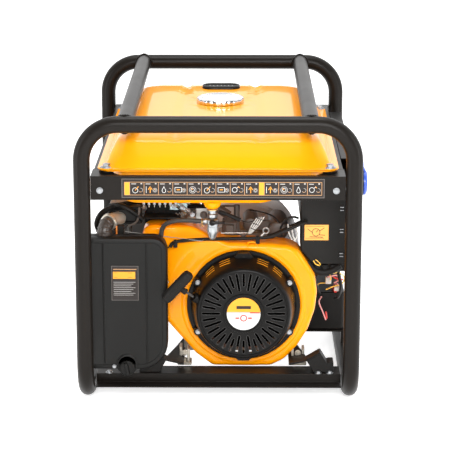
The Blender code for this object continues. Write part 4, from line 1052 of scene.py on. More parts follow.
for first in WINDOW_PAIRS:
    loops = []
    for degrees in range(first - 8, first + 29, 3):
        out = Vector((math.cos(math.radians(degrees)), 0, math.sin(math.radians(degrees))))
        loops.append([SHAFT + r * out - Vector((0, y, 0)) for r, y in (
            (0.1014, RING_BACK + 0.0080), (0.1010, RING_BACK + 0.0110), (0.0940, FACE_OUT - 0.0170),
            (0.0930, FACE_OUT - 0.0170), (0.1000, RING_BACK + 0.0110), (0.1004, RING_BACK + 0.0080))])
    loft(bm, loops)
# The lip behind the windows is the shroud's orange painted lighter than the shroud: painted light in the
# windows' shade.
LIP_ENAMEL_PAINTED_LIGHTER = surface("inlet_lip_painted_lighter", (1.0, 0.42, 0.01), 0.5, dust=0.0, mottle=0.05)
piece("shroud_inlet_lip", bm, LIP_ENAMEL_PAINTED_LIGHTER)


def add_disc_band(bm, centre, radius, low, high, y, thick, slot):
    """The part of an upright disc between two heights above its centre."""
    first, last = math.asin(max(low / radius, -1)), math.asin(min(high / radius, 1))
    right = [(radius * math.cos(first + (last - first) * i / 16),
              radius * math.sin(first + (last - first) * i / 16)) for i in range(17)]
    outline = right + [(-u, v) for u, v in reversed(right)]
    outline = [p for i, p in enumerate(outline) if (Vector(p) - Vector(outline[i - 1])).length > 1e-6]
    loft(bm, [[centre + Vector((u, d, v)) for u, v in outline] for d in (y, y - thick)], slot=slot)


# Round badge of plain colour bands in the hub.
RED_INK = surface("red_ink", (0.42, 0.03, 0.02), 0.45, dust=0.0, mottle=0.03)
BADGE_R = 0.0325
bm = bmesh.new()
y = -FACE_OUT + 0.0013
for low, high, slot in ((-BADGE_R, 0.0010, 0), (0.0012, 0.0036, 3), (0.0038, BADGE_R, 1)):
    add_disc_band(bm, SHAFT, BADGE_R, low, high, y, 0.0005, slot)
badge_x, badge_z = SHAFT.x - MIDDLE, SHAFT.z
add_flat(bm, badge_x + 0.0120, badge_x + 0.0310, badge_z + 0.0013, badge_z + 0.0035, y, 0.0007, 2)
ring_z = badge_z - 0.0085
add_ring(bm, (badge_x, ring_z), 0.0058, 0.0022, y - 0.0004, 0.0004, 2)
for start, end, width, slot in (((-0.0160, -0.0085), (-0.0085, -0.0085), 0.0030, 2),
                                ((0.0085, -0.0085), (0.0160, -0.0085), 0.0030, 2),
                                ((-0.0140, 0.0130), (0.0140, 0.0130), 0.0060, 4)):
    add_stroke(bm, (badge_x + start[0], badge_z + start[1]), (badge_x + end[0], badge_z + end[1]), width,
               y - 0.0004, 0.0004, slot)
for row, width in ((-0.0200, 0.020), (-0.0240, 0.014)):
    add_flat(bm, badge_x - width / 2, badge_x + width / 2, badge_z + row, badge_z + row + 0.0018, y, 0.0007,
             3)
piece("starter_badge", bm, [WHITE_INK, YELLOW_INK, RED_INK, GREY_INK, PLATE_BROWN])


# ---------------------------------------------------------------- starter grip and rope
# A rubber T handle knotted on a cord of three strands, with finger ribs across its bar.
# The cord runs out of the eyelet when it is pulled, off a pulley bolted in front of the cast flywheel.
STEM = 0.0220
GRIP_HALF = 0.0375
along = Vector((0.7250, -0.0362, 0.6880))
along = (along - along.dot(eyelet_out) * eyelet_out).normalized()
across = along.cross(eyelet_out)
bm = bmesh.new()
grip_steps = [(-1.0, 0.50, 0.50), (-0.985, 0.68, 0.66), (-0.94, 0.86, 0.84), (-0.84, 0.96, 0.97),
              (-0.80, 0.88, 0.92), (-0.76, 0.98, 1.0), (-0.4, 1.02, 0.98), (0.0, 1.04, 0.96),
              (0.4, 1.02, 0.98), (0.76, 0.98, 1.0), (0.80, 0.88, 0.92), (0.84, 0.96, 0.97),
              (0.94, 0.86, 0.84), (0.985, 0.68, 0.66), (1.0, 0.50, 0.50)]
loops = []
for share, thick, wide in grip_steps:
    centre = GRIP + share * GRIP_HALF * along
    loop = []
    for i in range(28):
        a = math.tau * i / 28
        square = 1 + 0.12 * abs(math.sin(2 * a))
        loop.append(centre + 0.0112 * square * (thick * 0.92 * math.cos(a) * eyelet_out
                                                + wide * 0.86 * math.sin(a) * across))
    loops.append(loop)
loft(bm, loops)
for number in range(7):
    share = -0.54 + 0.18 * number
    centre = GRIP + share * GRIP_HALF * along + 0.0088 * across
    sweep(bm, [centre - 0.0062 * eyelet_out, centre + 0.0062 * eyelet_out], 0.0011, 8)
add_turned(bm, [(0.0062, -STEM), (0.0064, -STEM + 0.0015), (0.0058, -STEM + 0.004), (0.0052, -STEM + 0.010),
                (0.0072, -0.0080)], GRIP, eyelet_out, 20)
piece("starter_grip_rubber", bm, RUBBER, body="grip", stands_for=["starter_grip"], sharp=45)
ROPE = surface("braided_cord", (0.045, 0.042, 0.040), 0.8, grain=1600, relief=0.0001, mottle=0.3, dust=0.1)
bm = bmesh.new()
rope_end = GRIP - (STEM - 0.002) * eyelet_out
rope_start = EYELET - 0.004 * eyelet_out
for strand in range(3):
    route = []
    for step in range(41):
        share = step / 40
        a = math.tau * (strand / 3 + 2.2 * share)
        route.append(rope_start.lerp(rope_end, share) + 0.0011 * (math.cos(a) * along + math.sin(a) * across))
    sweep(bm, route, 0.0013, 8)
rope = piece("starter_cord", bm, ROPE, stands_for=["starter_rope"])
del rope["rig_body"]
rope.parent = None
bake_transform(rope)
# The flywheel, crankshaft and pulley inside the starter are black, made darker and duller than any other
# black as painted shade.
WHEEL_BLACK_PAINTED_SHADE = surface("flywheel_black_painted_shade", (0.0018, 0.0016, 0.0014), 0.6, dust=0.0, mottle=0.2, shine=0.06)
for node, body in (("recoil_pulley", "pulley"), ("flywheel", "crank"), ("crankshaft", "crank")):
    from_cad(node, WHEEL_BLACK_PAINTED_SHADE, 0.0008, body=body)


# ---------------------------------------------------------------- air box
# Two black mouldings clamp together at a seam, with the foam element between them.
# The cover has two stiffening ribs, a raised border and a label, and a turned knob holds it at the foot.
BOX_LOW, BOX_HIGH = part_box("air_box_cover")
BASE_LOW, BASE_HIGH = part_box("air_box_base")


def box_outline(inset, low, radii, steps=8):
    """Front view of the air box, drawn in by an inset; radii go from the upper right, turning left."""
    x0, x1 = BOX_LOW.x + inset, BOX_HIGH.x - inset
    z0, z1 = low + inset, BOX_HIGH.z - inset
    corners = ((x1, z1, 0), (x0, z1, 90), (x0, z0, 180), (x1, z0, 270))
    signs = ((-1, -1), (1, -1), (1, 1), (-1, 1))
    points = []
    for (x, z, start), (sx, sz), r in zip(corners, signs, radii):
        r = max(r - inset, 0.001)
        for step in range(steps + 1):
            a = math.radians(start + 90 * step / steps)
            points.append((x + sx * r + r * math.cos(a), z + sz * r + r * math.sin(a)))
    return points


COVER_RADII = (0.028, 0.010, 0.010, 0.055)
bm = bmesh.new()
front, split = BOX_LOW.y, BOX_HIGH.y
rows = [(0.0030, split), (0.0, split), (0.0, split - 0.0030), (0.0014, split - 0.0036),
        (0.0014, split - 0.0056), (0.0, split - 0.0062), (0.0, front + 0.0090), (0.0009, front + 0.0050),
        (0.0028, front + 0.0024), (0.0058, front + 0.0014), (0.0100, front + 0.0012),
        (0.0112, front + 0.0022)]
loft(bm, [[Vector((u, y, v)) for u, v in box_outline(inset, BOX_LOW.z, COVER_RADII)] for inset, y in rows])
for x in (-0.2215, -0.1385):
    sweep(bm, [at(x, front + 0.0014, BOX_LOW.z + 0.014), at(x, front + 0.0014, BOX_HIGH.z - 0.010)], 0.0016,
          10)
add_turned(bm, [(0.0205, 0), (0.0205, 0.0030), (0.0192, 0.0038), (0.0172, 0.0038), (0.0168, 0.0010)],
           at(-0.1780, front + 0.0032, 0.0700), (0, -1, 0), 40)
COVER_BLACK = surface("air_box_moulding", (0.0065, 0.0062, 0.0055), 0.44, grain=520, relief=0.00022,
                      mottle=0.10, dust=0.015, shine=0.17)
piece("air_box_front", bm, COVER_BLACK, stands_for=["air_box_cover"], sharp=32)
bm = bmesh.new()
rows = [(0.0030, split + 0.0004), (0.0, split + 0.0004), (0.0, split + 0.0030), (0.0020, split + 0.0036),
        (0.0020, BASE_HIGH.y - 0.003), (0.0045, BASE_HIGH.y)]
loft(bm, [[Vector((u, y, v)) for u, v in box_outline(inset, BASE_LOW.z, (0.028, 0.010, 0.010, 0.030))]
          for inset, y in rows])
piece("air_box_back", bm, COVER_BLACK, stands_for=["air_box_base"], sharp=32)
FOAM = surface("filter_foam", (0.55, 0.42, 0.20), 0.95, grain=260, relief=0.0012, mottle=0.3, dust=0.0)
from_cad("air_filter", FOAM, 0.0)

# Knob: fluted rim and a finger bar.
knob_low, knob_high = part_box("air_box_knob")
KNOB = Vector(((knob_low.x + knob_high.x) / 2, knob_high.y, (knob_low.z + knob_high.z) / 2))
bm = bmesh.new()
loops = []
for share, out in ((0.94, 0.0), (1.0, 0.0008), (1.0, 0.0044), (0.96, 0.0056), (0.88, 0.0062), (0.80, 0.0062),
                   (0.76, 0.0056)):
    loop = []
    for i in range(120):
        a = math.tau * i / 120
        flute = 0.5 - 0.5 * math.cos(20 * a)
        r = 0.0155 * (share - (0.035 * flute if share > 0.9 else 0))
        loop.append(KNOB + Vector((r * math.cos(a), -out, r * math.sin(a))))
    loops.append(loop)
loft(bm, loops)
tilt = Matrix.Rotation(math.radians(-12), 4, (0, 1, 0))
bar = []
for half, wide, out in ((0.0128, 0.0040, 0.0050), (0.0126, 0.0036, 0.0092), (0.0118, 0.0026, 0.0107)):
    bar.append([KNOB + tilt @ Vector((u, -out, v)) for u, v in four_corners(wide, half)])
loft(bm, bar)
piece("air_box_knob_part", bm, COVER_BLACK, body="knob", stands_for=["air_box_knob"],
      sharp=32)
bm = bmesh.new()
add_bolt(bm, at(-0.2030, front + 0.0010, 0.0665), (0, -1, 0), 0.0034, 0.0030, washer=1.2)
piece("air_box_screw", bm, ZINC)

# Label: a dark plate with a yellow panel and plain grey rules.
bm = bmesh.new()
LABEL_LEFT, LABEL_RIGHT = -0.2060, -0.1540
LABEL_LOW, LABEL_HIGH = 0.2010, 0.2700
INK = 0.0002
y = front + 0.0013
add_flat(bm, LABEL_LEFT, LABEL_RIGHT, LABEL_LOW, LABEL_HIGH, y, 0.0006, 1)
add_flat(bm, LABEL_LEFT + 0.0008, LABEL_RIGHT - 0.0008, LABEL_LOW + 0.0008, LABEL_HIGH - 0.0008, y - 0.0005,
         INK, 0)
y -= 0.0007
add_flat(bm, LABEL_LEFT + 0.0035, LABEL_RIGHT - 0.0035, LABEL_HIGH - 0.0075, LABEL_HIGH - 0.0060, y, INK, 2)
add_flat(bm, LABEL_LEFT + 0.0030, LABEL_RIGHT - 0.0060, LABEL_HIGH - 0.0255, LABEL_HIGH - 0.0115, y, INK, 4)
for x0, x1 in ((0.0050, 0.0110), (0.0320, 0.0400)):
    for z0, z1 in ((0.0230, 0.0224), (0.0140, 0.0134)):
        add_flat(bm, LABEL_LEFT + x0, LABEL_LEFT + x1, LABEL_HIGH - z0, LABEL_HIGH - z1, y - INK, INK, 0)
for row in range(8):
    short = 0.006 + 0.004 * (row % 3)
    z = LABEL_HIGH - 0.0320 - 0.0037 * row
    add_flat(bm, LABEL_LEFT + 0.0040, LABEL_RIGHT - short, z - 0.0007, z, y, INK, 5)
piece("air_box_label", bm, [PLATE_BROWN, PLATE_EDGE, LINE_BROWN, WHITE_INK, YELLOW_INK, GREY_INK])


# ---------------------------------------------------------------- fuel valve, bowl and hose
# A die-cast valve screwed into the sump's boss by a union nut, with a clear sediment bowl and a black lever.
# A rubber hose runs from its brass barb, held by a wire clip, down to the carburettor.
DIE_CAST = surface("die_cast_zinc", (0.36, 0.37, 0.37), 0.34, 1.0, grain=420, relief=0.00008, mottle=0.25,
                   dust=0.15)
BRASS = surface("yellow_brass", (0.60, 0.40, 0.16), 0.30, 1.0, grain=500, relief=0.00004, mottle=0.2,
                dust=0.1)
BOWL_GLASS = surface("bowl_plastic", (0.34, 0.36, 0.37), 0.12, 0.70, grain=60, relief=0.0006, mottle=0.5,
                     dust=0.0, coat=0.8, mottle_scale=160.0)
VALVE = at(VALVE_X, VALVE_Y, 0.0)
bm = bmesh.new()
add_turned(bm, [(0.0072, 0.3642), (0.0076, 0.3650), (0.0078, 0.3700), (0.0078, 0.3718)], VALVE, (0, 0, 1), 24)
add_turned(bm, [(0.0102, 0.3718), (0.0108, 0.3724), (0.0108, 0.3738), (0.0100, 0.3742)], VALVE, (0, 0, 1),
           24, 1)
add_turned(bm, [(0.0058, 0.3560), (0.0058, 0.3642)], VALVE, (0, 0, 1), 20)
add_turned(bm, [(0.0096, 0.3572), (0.0102, 0.3578), (0.0102, 0.3634), (0.0094, 0.3641)], VALVE, (0, 0, 1), 6)
add_turned(bm, [(0.0118, 0.3450), (0.0125, 0.3458), (0.0125, 0.3530), (0.0116, 0.3541), (0.0075, 0.3560)],
           VALVE, (0, 0, 1), 32)
add_turned(bm, [(0.0062, 0.0100), (0.0060, 0.0150), (0.0040, 0.0155), (0.0044, 0.0175), (0.0036, 0.0180),
                (0.0044, 0.0200), (0.0034, 0.0215)], at(VALVE_X, VALVE_Y, 0.3490), (-1, 0, 0), 20)
piece("fuel_valve_body", bm, [DIE_CAST, BRASS], stands_for=["fuel_valve"])
bm = bmesh.new()
add_turned(bm, [(0.0030, 0.3128), (0.0044, 0.3132), (0.0064, 0.3158), (0.0074, 0.3180), (0.0112, 0.3290),
                (0.0118, 0.3312), (0.0118, 0.3390), (0.0110, 0.3396), (0.0110, 0.3404), (0.0118, 0.3410),
                (0.0118, 0.3446)], VALVE, (0, 0, 1), 32)
piece("sediment_bowl", bm, BOWL_GLASS, stands_for=["filter_bowl"])
lever_low, lever_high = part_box("fuel_valve_lever")
bm = bmesh.new()
add_turned(bm, [(0.0058, 0), (0.0060, 0.0008), (0.0060, 0.0040), (0.0050, 0.0050)],
           Vector((VALVE.x, lever_high.y, (lever_low.z + lever_high.z) / 2)), (0, -1, 0), 24)
sweep(bm, [Vector((VALVE.x, lever_high.y - 0.0030, 0.3500)), Vector((VALVE.x + 0.0140, lever_high.y
                                                                     - 0.0030, 0.3500)),
           Vector((VALVE.x + 0.0240, lever_high.y - 0.0030, 0.3500))], [0.0034, 0.0024, 0.0036], 10)
piece("fuel_lever_part", bm, RECOIL_BLACK, body="fuel_lever", stands_for=["fuel_valve_lever"])

HOSE_RUBBER = surface("fuel_hose_rubber", (0.020, 0.018, 0.015), 0.55, grain=1500, relief=0.00003,
                      mottle=0.15, dust=0.1)
hose_route = curve(((-0.0338, -0.2850, 0.3490), (-0.0500, -0.2850, 0.3505), (-0.0780, -0.2830, 0.3500),
                    (-0.0985, -0.2790, 0.3435), (-0.1090, -0.2745, 0.3320), (-0.1130, -0.2735, 0.3120),
                    (-0.1200, -0.2735, 0.2900), (-0.1400, -0.2735, 0.2800), (-0.1580, -0.2700, 0.2850),
                    (-0.1680, -0.2550, 0.2960), (-0.1740, -0.2300, 0.3050), (-0.1760, -0.2120, 0.3140),
                    (-0.1760, -0.2100, 0.3284)), 6)
bm = bmesh.new()
sweep(bm, hose_route, 0.0046, 14)
piece("fuel_hose_run", bm, HOSE_RUBBER, stands_for=["fuel_hose"])
bm = bmesh.new()
for step in (-0.0325, -0.0308):
    wire = [at(step, VALVE_Y + 0.0052 * math.sin(math.tau * i / 20),
                        0.3490 + 0.0052 * math.cos(math.tau * i / 20)) for i in range(20)]
    sweep(bm, wire, 0.0007, 8, ring=True)
for side in (-1, 1):
    sweep(bm, [at(-0.0316, VALVE_Y - 0.0040, 0.3450), at(-0.0316 + side * 0.0030, VALVE_Y - 0.0075,
                                                         0.3400)], 0.0009, 8)
piece("hose_clip", bm, BRASS)


# ---------------------------------------------------------------- carburettor and intake
# A die-cast carburettor with a black plastic cover, and a pale alloy casting that a brown rubber tube brings
# air to from the air box, under a clamp.  A ribbed breather hose, the governor's rod and spring and their
# zinc bracket sit beside it.
CAST_GREY = surface("sand_cast_alloy", (0.36, 0.35, 0.33), 0.46, 0.85, grain=300, relief=0.00035, mottle=0.35,
                    dust=0.25, dust_colour=(0.20, 0.15, 0.11))
CREAM_CAST = surface("machined_alloy", (0.46, 0.42, 0.35), 0.40, 0.7, grain=300, relief=0.0002, mottle=0.3,
                     dust=0.1)
BROWN_RUBBER = surface("brown_rubber", (0.030, 0.020, 0.015), 0.42, grain=900, relief=0.00005, mottle=0.3,
                       dust=0.15)
DARK_CAST = surface("dark_painted_casting", (0.062, 0.048, 0.038), 0.46, grain=420, relief=0.0002,
                    mottle=0.35, dust=0.3, dust_colour=(0.10, 0.07, 0.05))
BLUE_ZINC = surface("blue_zinc", (0.42, 0.55, 0.56), 0.30, 1.0, grain=500, relief=0.00003, mottle=0.3,
                    dust=0.05)


def add_slab(bm, low, high, radius=0.003, slot=0, taper=0.0):
    """An upright moulded block between two corners, its upright edges rounded and its rims rolled."""
    x0, x1 = low.x, high.x
    y0, y1 = low.y, high.y
    loops = []
    height = high.z - low.z
    roll = min(0.0012, radius * 0.4, height * 0.2)
    for share, inset in ((0, roll), (roll / height, 0), (1 - roll / height, taper), (1, taper + roll)):
        loop = []
        for cx, cy, start in ((x1, y1, 0), (x0, y1, 90), (x0, y0, 180), (x1, y0, 270)):
            for step in range(5):
                a = math.radians(start + 22.5 * step)
                mx = cx - math.copysign(radius + inset, cx - (x0 + x1) / 2)
                my = cy - math.copysign(radius + inset, cy - (y0 + y1) / 2)
                loop.append(Vector((mx + radius * math.cos(a), my + radius * math.sin(a),
                                    low.z + height * share)))
        loops.append(loop)
    loft(bm, loops, slot=slot)


from_cad("carburetor", CAST_GREY, 0.0012)
bm = bmesh.new()
# Black cover over the carburettor, with a raised rim, and the folded shelf beside it.
add_slab(bm, at(-0.2160, -0.2560, 0.3350), at(-0.1500, -0.2340, 0.3700), 0.005, 0)
add_slab(bm, at(-0.2060, -0.2590, 0.3410), at(-0.1600, -0.2555, 0.3660), 0.003, 0)
add_slab(bm, at(-0.1480, -0.2350, 0.3400), at(-0.0780, -0.1700, 0.3440), 0.004, 0)
add_slab(bm, at(-0.1470, -0.2000, 0.3080), at(-0.0760, -0.1960, 0.3660), 0.004, 0)
sweep(bm, curve(((-0.2130, -0.2480, 0.3700), (-0.1900, -0.2600, 0.3740), (-0.1650, -0.2620, 0.3600),
                 (-0.1480, -0.2560, 0.3440)), 5), 0.0050, 10)
edge = curve(((-0.1540, -0.2600, 0.3700), (-0.1560, -0.2620, 0.3560), (-0.1600, -0.2620, 0.3420),
              (-0.1750, -0.2620, 0.3340), (-0.1950, -0.2610, 0.3330)), 5)
sweep(bm, edge, 0.0022, 8, slot=1)
piece("carburettor_cover", bm, [BLACK_MOULDING, DARK_CAST])

bm = bmesh.new()
elbow = curve(((-0.2200, -0.3000, 0.3260), (-0.2200, -0.3000, 0.3330), (-0.2170, -0.2930, 0.3440),
               (-0.2080, -0.2780, 0.3480), (-0.1950, -0.2580, 0.3480), (-0.1880, -0.2400, 0.3475)), 6)
sweep(bm, elbow, 0.0128, 24)
for number in (4, 8, 12):
    spot, ahead = elbow[number], elbow[number + 1] - elbow[number]
    add_turned(bm, [(0.0134, -0.0018), (0.0143, 0), (0.0134, 0.0018)], spot, ahead.normalized(), 28)
add_turned(bm, [(0.0150, -0.0008), (0.0152, 0.0080), (0.0140, 0.0090)], at(-0.2200, -0.2990, 0.3262),
           (0, 0, 1), 28)
piece("intake_tube", bm, BROWN_RUBBER, stands_for=["intake_elbow"])
bm = bmesh.new()
add_slab(bm, at(-0.2120, -0.2400, 0.3310), at(-0.1630, -0.2325, 0.3640), 0.004)
joint = elbow[15:]
sweep(bm, joint, 0.0134, 24)
add_turned(bm, [(0.0158, 0), (0.0165, 0.002), (0.0165, 0.006), (0.0158, 0.008)], elbow[15],
           (elbow[16] - elbow[15]).normalized(), 28)
for share in (-1, 1):
    sweep(bm, [p + Vector((0, 0, share * 0.0120)) for p in joint], 0.0020, 8)
for x, z in ((-0.2060, 0.3590), (-0.1690, 0.3360)):
    add_bolt(bm, at(x, -0.2398, z), (0, -1, 0), 0.0036, 0.0036)
piece("intake_casting", bm, CREAM_CAST)
STRAP_ORANGE = surface("orange_strap", (0.70, 0.20, 0.02), 0.5, dust=0.1)
bm = bmesh.new()
add_slab(bm, at(-0.2030, -0.2860, 0.3160), at(-0.1830, -0.2740, 0.3400), 0.003, 0)
add_slab(bm, at(-0.1990, -0.2875, 0.3230), at(-0.1960, -0.2850, 0.3400), 0.001, 1)
sweep(bm, [at(-0.1850, -0.2800, 0.3330), at(-0.1780, -0.2760, 0.3400)], 0.0030, 8, slot=0)
piece("intake_clamp", bm, [BLACK_MOULDING, STRAP_ORANGE])

bm = bmesh.new()
breather = curve(((-0.2330, -0.2700, 0.3250), (-0.2370, -0.2650, 0.3400), (-0.2280, -0.2600, 0.3580),
                  (-0.2080, -0.2560, 0.3690), (-0.1850, -0.2450, 0.3720), (-0.1500, -0.1900, 0.3640)), 12)
sweep(bm, breather, 0.0052, 12)
for spot, ahead in zip(breather, breather[1:]):
    add_turned(bm, [(0.0052, -0.0009), (0.0060, 0), (0.0052, 0.0009)], spot, (ahead - spot).normalized(), 12)
piece("breather_hose", bm, RUBBER)

bm = bmesh.new()
add_slab(bm, at(-0.0970, -0.2230, 0.3560), at(-0.0620, -0.2200, 0.3720), 0.001, 0)
add_slab(bm, at(-0.0970, -0.2230, 0.3690), at(-0.0560, -0.1950, 0.3720), 0.001, 0)
sweep(bm, [at(-0.0900, -0.2250, 0.3700), at(-0.0640, -0.2250, 0.3480)], 0.0030, 4, slot=0)
sweep(bm, [at(-0.0800, -0.2270, 0.3720), at(-0.0540, -0.2270, 0.3500)], 0.0014, 8, slot=1)
add_slab(bm, at(-0.0610, -0.2280, 0.3290), at(-0.0430, -0.2150, 0.3420), 0.002, 2)
for x, z in ((-0.0880, 0.3640), (-0.0720, 0.3620), (-0.0520, 0.3470)):
    add_bolt(bm, at(x, -0.2255, z), (0, -1, 0), 0.0032, 0.0034, slot=1)
for number in range(7):
    x = -0.1500 + 0.0105 * number
    add_slab(bm, at(x, -0.2340, 0.3690 - 0.0012 * (number % 2)), at(x + 0.0055, -0.2300, 0.3735), 0.0008, 1)
    add_slab(bm, at(x + 0.0020, -0.2350, 0.3640), at(x + 0.0038, -0.2330, 0.3690), 0.0005, 2)
piece("throttle_bracket", bm, [BLUE_ZINC, ZINC, CREAM_CAST])
bm = bmesh.new()
coil_path = [at(-0.0850 + 0.0008 * i, -0.2320 + 0.0024 * math.cos(i * math.tau / 8),
                0.3500 + 0.0024 * math.sin(i * math.tau / 8)) for i in range(41)]
sweep(bm, coil_path, 0.0005, 6)
sweep(bm, [at(-0.1835, -0.2500, 0.3190), at(-0.0330, -0.2800, 0.3080), at(0.0050, -0.2300, 0.3162)], 0.0008,
      8)
sweep(bm, [at(0.0040, -0.2500, 0.3163), at(0.0560, -0.2500, 0.3165)], 0.0013, 8)
piece("governor_rod_and_spring", bm, CAST_GREY)
from_cad("choke_lever", ZINC, 0.0006, body="choke")
from_cad("governor_arm", DARK_CAST, 0.0006, body="governor")

# Fixing tab beside the valve with its dark bolt.
bm = bmesh.new()
add_slab(bm, at(-0.0450, -0.2620, 0.3420), at(-0.0190, -0.2590, 0.3700), 0.003, 0)
add_bolt(bm, at(-0.0290, -0.2620, 0.3560), (0, -1, 0), 0.0060, 0.0060, slot=1, washer=1.25)
piece("valve_side_tab", bm, [CAST_GREY, DARK_CAST])


# ---------------------------------------------------------------- engine
# Sand-cast alloy crankcase with a finned head, a pressed rocker cover, plug and dipstick.
# Two arms bolt the crankcase to the rubber mounts on the floor beam; the starter motor lies on its shoulder.
CASE_MIDDLE, CASE_HALF = MIDDLE + 0.0350, 0.1120


def slim_arms(bm):
    """Draws the backs of the two mounting arms forward into webs."""
    for vert in bm.verts:
        if abs(vert.co.x - CASE_MIDDLE) > CASE_HALF and vert.co.y > -0.20:
            vert.co.y = -0.2720
    for face in bm.faces:
        middle = face.calc_center_median()
        face.material_index = int(abs(middle.x - CASE_MIDDLE) > CASE_HALF - 0.004 and middle.z < 0.09)


from_cad("crankcase", [CAST_GREY, RUBBER], 0.0015, extra=slim_arms)
head_low, head_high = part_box("cylinder_head")


def cooling_fins(bm):
    """Seven thin fins round the head, standing forward of its face."""
    for number in range(7):
        z = head_low.z + (head_high.z - head_low.z) * (number + 0.5) / 7
        add_slab(bm, Vector((head_low.x, head_low.y - 0.006, z - 0.0011)),
                 Vector((head_high.x, head_high.y, z + 0.0011)), 0.0012)


from_cad("cylinder_head", CAST_GREY, 0.0015, extra=cooling_fins)
from_cad("valve_cover", DARK_CAST, 0.0030)
PORCELAIN = surface("white_porcelain", (0.80, 0.79, 0.75), 0.15, dust=0.1, mottle=0.05, coat=0.5)
from_cad("spark_plug", PORCELAIN, 0.0006)
from_cad("oil_dipstick", BLACK_MOULDING, 0.0012, body="dipstick")
bm = bmesh.new()
lead = curve(((-0.1050, -0.1500, 0.3000), (-0.1000, -0.1700, 0.3300), (-0.0700, -0.1800, 0.3500),
              (-0.0300, -0.1900, 0.3560), (0.0000, -0.1950, 0.3520)), 6)
sweep(bm, lead, 0.0034, 10)
piece("ignition_lead", bm, RUBBER)
# Feet of the crankcase that show below the shroud, with ribs and bolts.
bm = bmesh.new()
for x0, x1 in ((-0.0820, -0.0540), (0.1400, 0.1740)):
    add_slab(bm, at(x0, -0.2600, 0.0470), at(x1, -0.2300, 0.0530), 0.002)
    add_slab(bm, at(x0 + 0.004, -0.2560, 0.0530), at(x0 + 0.009, -0.2300, 0.0840), 0.001)
    add_slab(bm, at(x1 - 0.009, -0.2560, 0.0530), at(x1 - 0.004, -0.2300, 0.0800), 0.001)
    add_bolt(bm, at((x0 + x1) / 2, -0.2450, 0.0530), (0, 0, 1), 0.0050, 0.0045)
    add_bolt(bm, at((x0 + x1) / 2, -0.2565, 0.0720), (0, -1, 0), 0.0042, 0.0040)
piece("crankcase_feet", bm, CREAM_CAST)

# Dark castings that stand above the shroud beside the valve: breather housing, starter end, solenoid end.
bm = bmesh.new()
add_slab(bm, at(0.0060, -0.2120, 0.3020), at(0.0360, -0.1700, 0.3280), 0.006, 0)
add_slab(bm, at(0.0120, -0.2180, 0.3080), at(0.0300, -0.2110, 0.3240), 0.003, 0)
sweep(bm, [at(-0.0080, -0.2000, 0.3580), at(0.0200, -0.2050, 0.3400)], 0.0090, 10)
add_slab(bm, at(-0.0350, -0.1800, 0.3450), at(-0.0060, -0.1500, 0.3640), 0.004, 0)
add_turned(bm, [(0.0040, 0.0), (0.0052, 0.002), (0.0052, 0.008), (0.0040, 0.009)],
           at(0.0480, -0.2180, 0.3060), (0, -1, 0), 20)
piece("engine_side_castings", bm, DARK_CAST)
starter_low, starter_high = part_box("starter_motor")
bm = bmesh.new()
rear, nose = starter_high.y, starter_low.y
motor = Vector((MIDDLE + 0.1170, 0, 0.3070))
solenoid = Vector((MIDDLE + 0.0620, 0, 0.3180))
add_turned(bm, [(0.0150, -rear), (0.0192, -rear + 0.004), (0.0200, -rear + 0.010), (0.0205, -nose - 0.010),
                (0.0190, -nose - 0.004), (0.0140, -nose - 0.0006), (0.0060, -nose)], motor, (0, -1, 0), 40)
add_turned(bm, [(0.0150, 0.1210), (0.0150, 0.1880), (0.0132, 0.1935), (0.0080, 0.1960)], solenoid,
           (0, -1, 0), 36)
add_slab(bm, at(0.0640, -0.1850, 0.3050), at(0.1160, -0.1740, 0.3240), 0.003)
for turn in range(3):
    a = math.radians(30 + 120 * turn)
    add_turned(bm, [(0.0026, -nose - 0.006), (0.0026, -nose - 0.0010)],
               motor + Vector((0.0150 * math.cos(a), 0, 0.0150 * math.sin(a))), (0, -1, 0), 12)
piece("starter_motor_and_solenoid", bm, DARK_CAST, stands_for=["starter_motor"])

# Plug and its ribbed clear shells, ring lug and the thick battery cable at the solenoid.
SHELL_WHITE = surface("natural_nylon", (0.44, 0.43, 0.40), 0.35, dust=0.1, mottle=0.2)
COPPER_RED = surface("copper_terminal", (0.70, 0.30, 0.16), 0.35, 1.0, dust=0.1, mottle=0.2)
bm = bmesh.new()
top, foot = at(0.0820, -0.2560, 0.3500), at(0.0600, -0.2620, 0.3180)
for number in range(4):
    side = Vector((0.0048, 0, 0.0006)) * (number - 1.5)
    sweep(bm, [top + side, top.lerp(foot, 0.5) + side, foot + side * 0.35], [0.0010, 0.0013, 0.0009], 8)
for share in (0.10, 0.42, 0.70):
    spot = top.lerp(foot, share)
    wide = 0.0078 * (1 - 0.5 * share)
    sweep(bm, [spot + Vector((-wide, -0.0012, wide * 0.4)), spot + Vector((wide, -0.0012, -wide * 0.4))],
          0.0008, 6, slot=1)
piece("loom_connector", bm, [SHELL_WHITE, RUBBER])
bm = bmesh.new()
lug = [at(0.0920 + 0.0055 * math.cos(math.tau * i / 20), -0.2600, 0.3240
          + 0.0055 * math.sin(math.tau * i / 20)) for i in range(20)]
sweep(bm, lug, 0.0014, 8, ring=True)
sweep(bm, [at(0.0880, -0.2600, 0.3190), at(0.0810, -0.2620, 0.3110)], 0.0020, 8)
piece("ring_lug", bm, CAST_GREY)
bm = bmesh.new()
sweep(bm, curve(((0.0960, -0.2560, 0.3110), (0.1080, -0.2580, 0.3140), (0.1260, -0.2580, 0.3230),
                 (0.1420, -0.2550, 0.3300), (0.1600, -0.2480, 0.3370)), 5), 0.0050, 14)
sweep(bm, curve(((0.1230, -0.2480, 0.3080), (0.1210, -0.2490, 0.3260), (0.1310, -0.2500, 0.3430),
                 (0.1450, -0.2500, 0.3490), (0.1560, -0.2480, 0.3460)), 6), 0.0022, 10)
sweep(bm, curve(((0.0000, -0.2680, 0.3640), (0.0200, -0.2690, 0.3570), (0.0420, -0.2680, 0.3470)), 5),
      0.0042, 12)
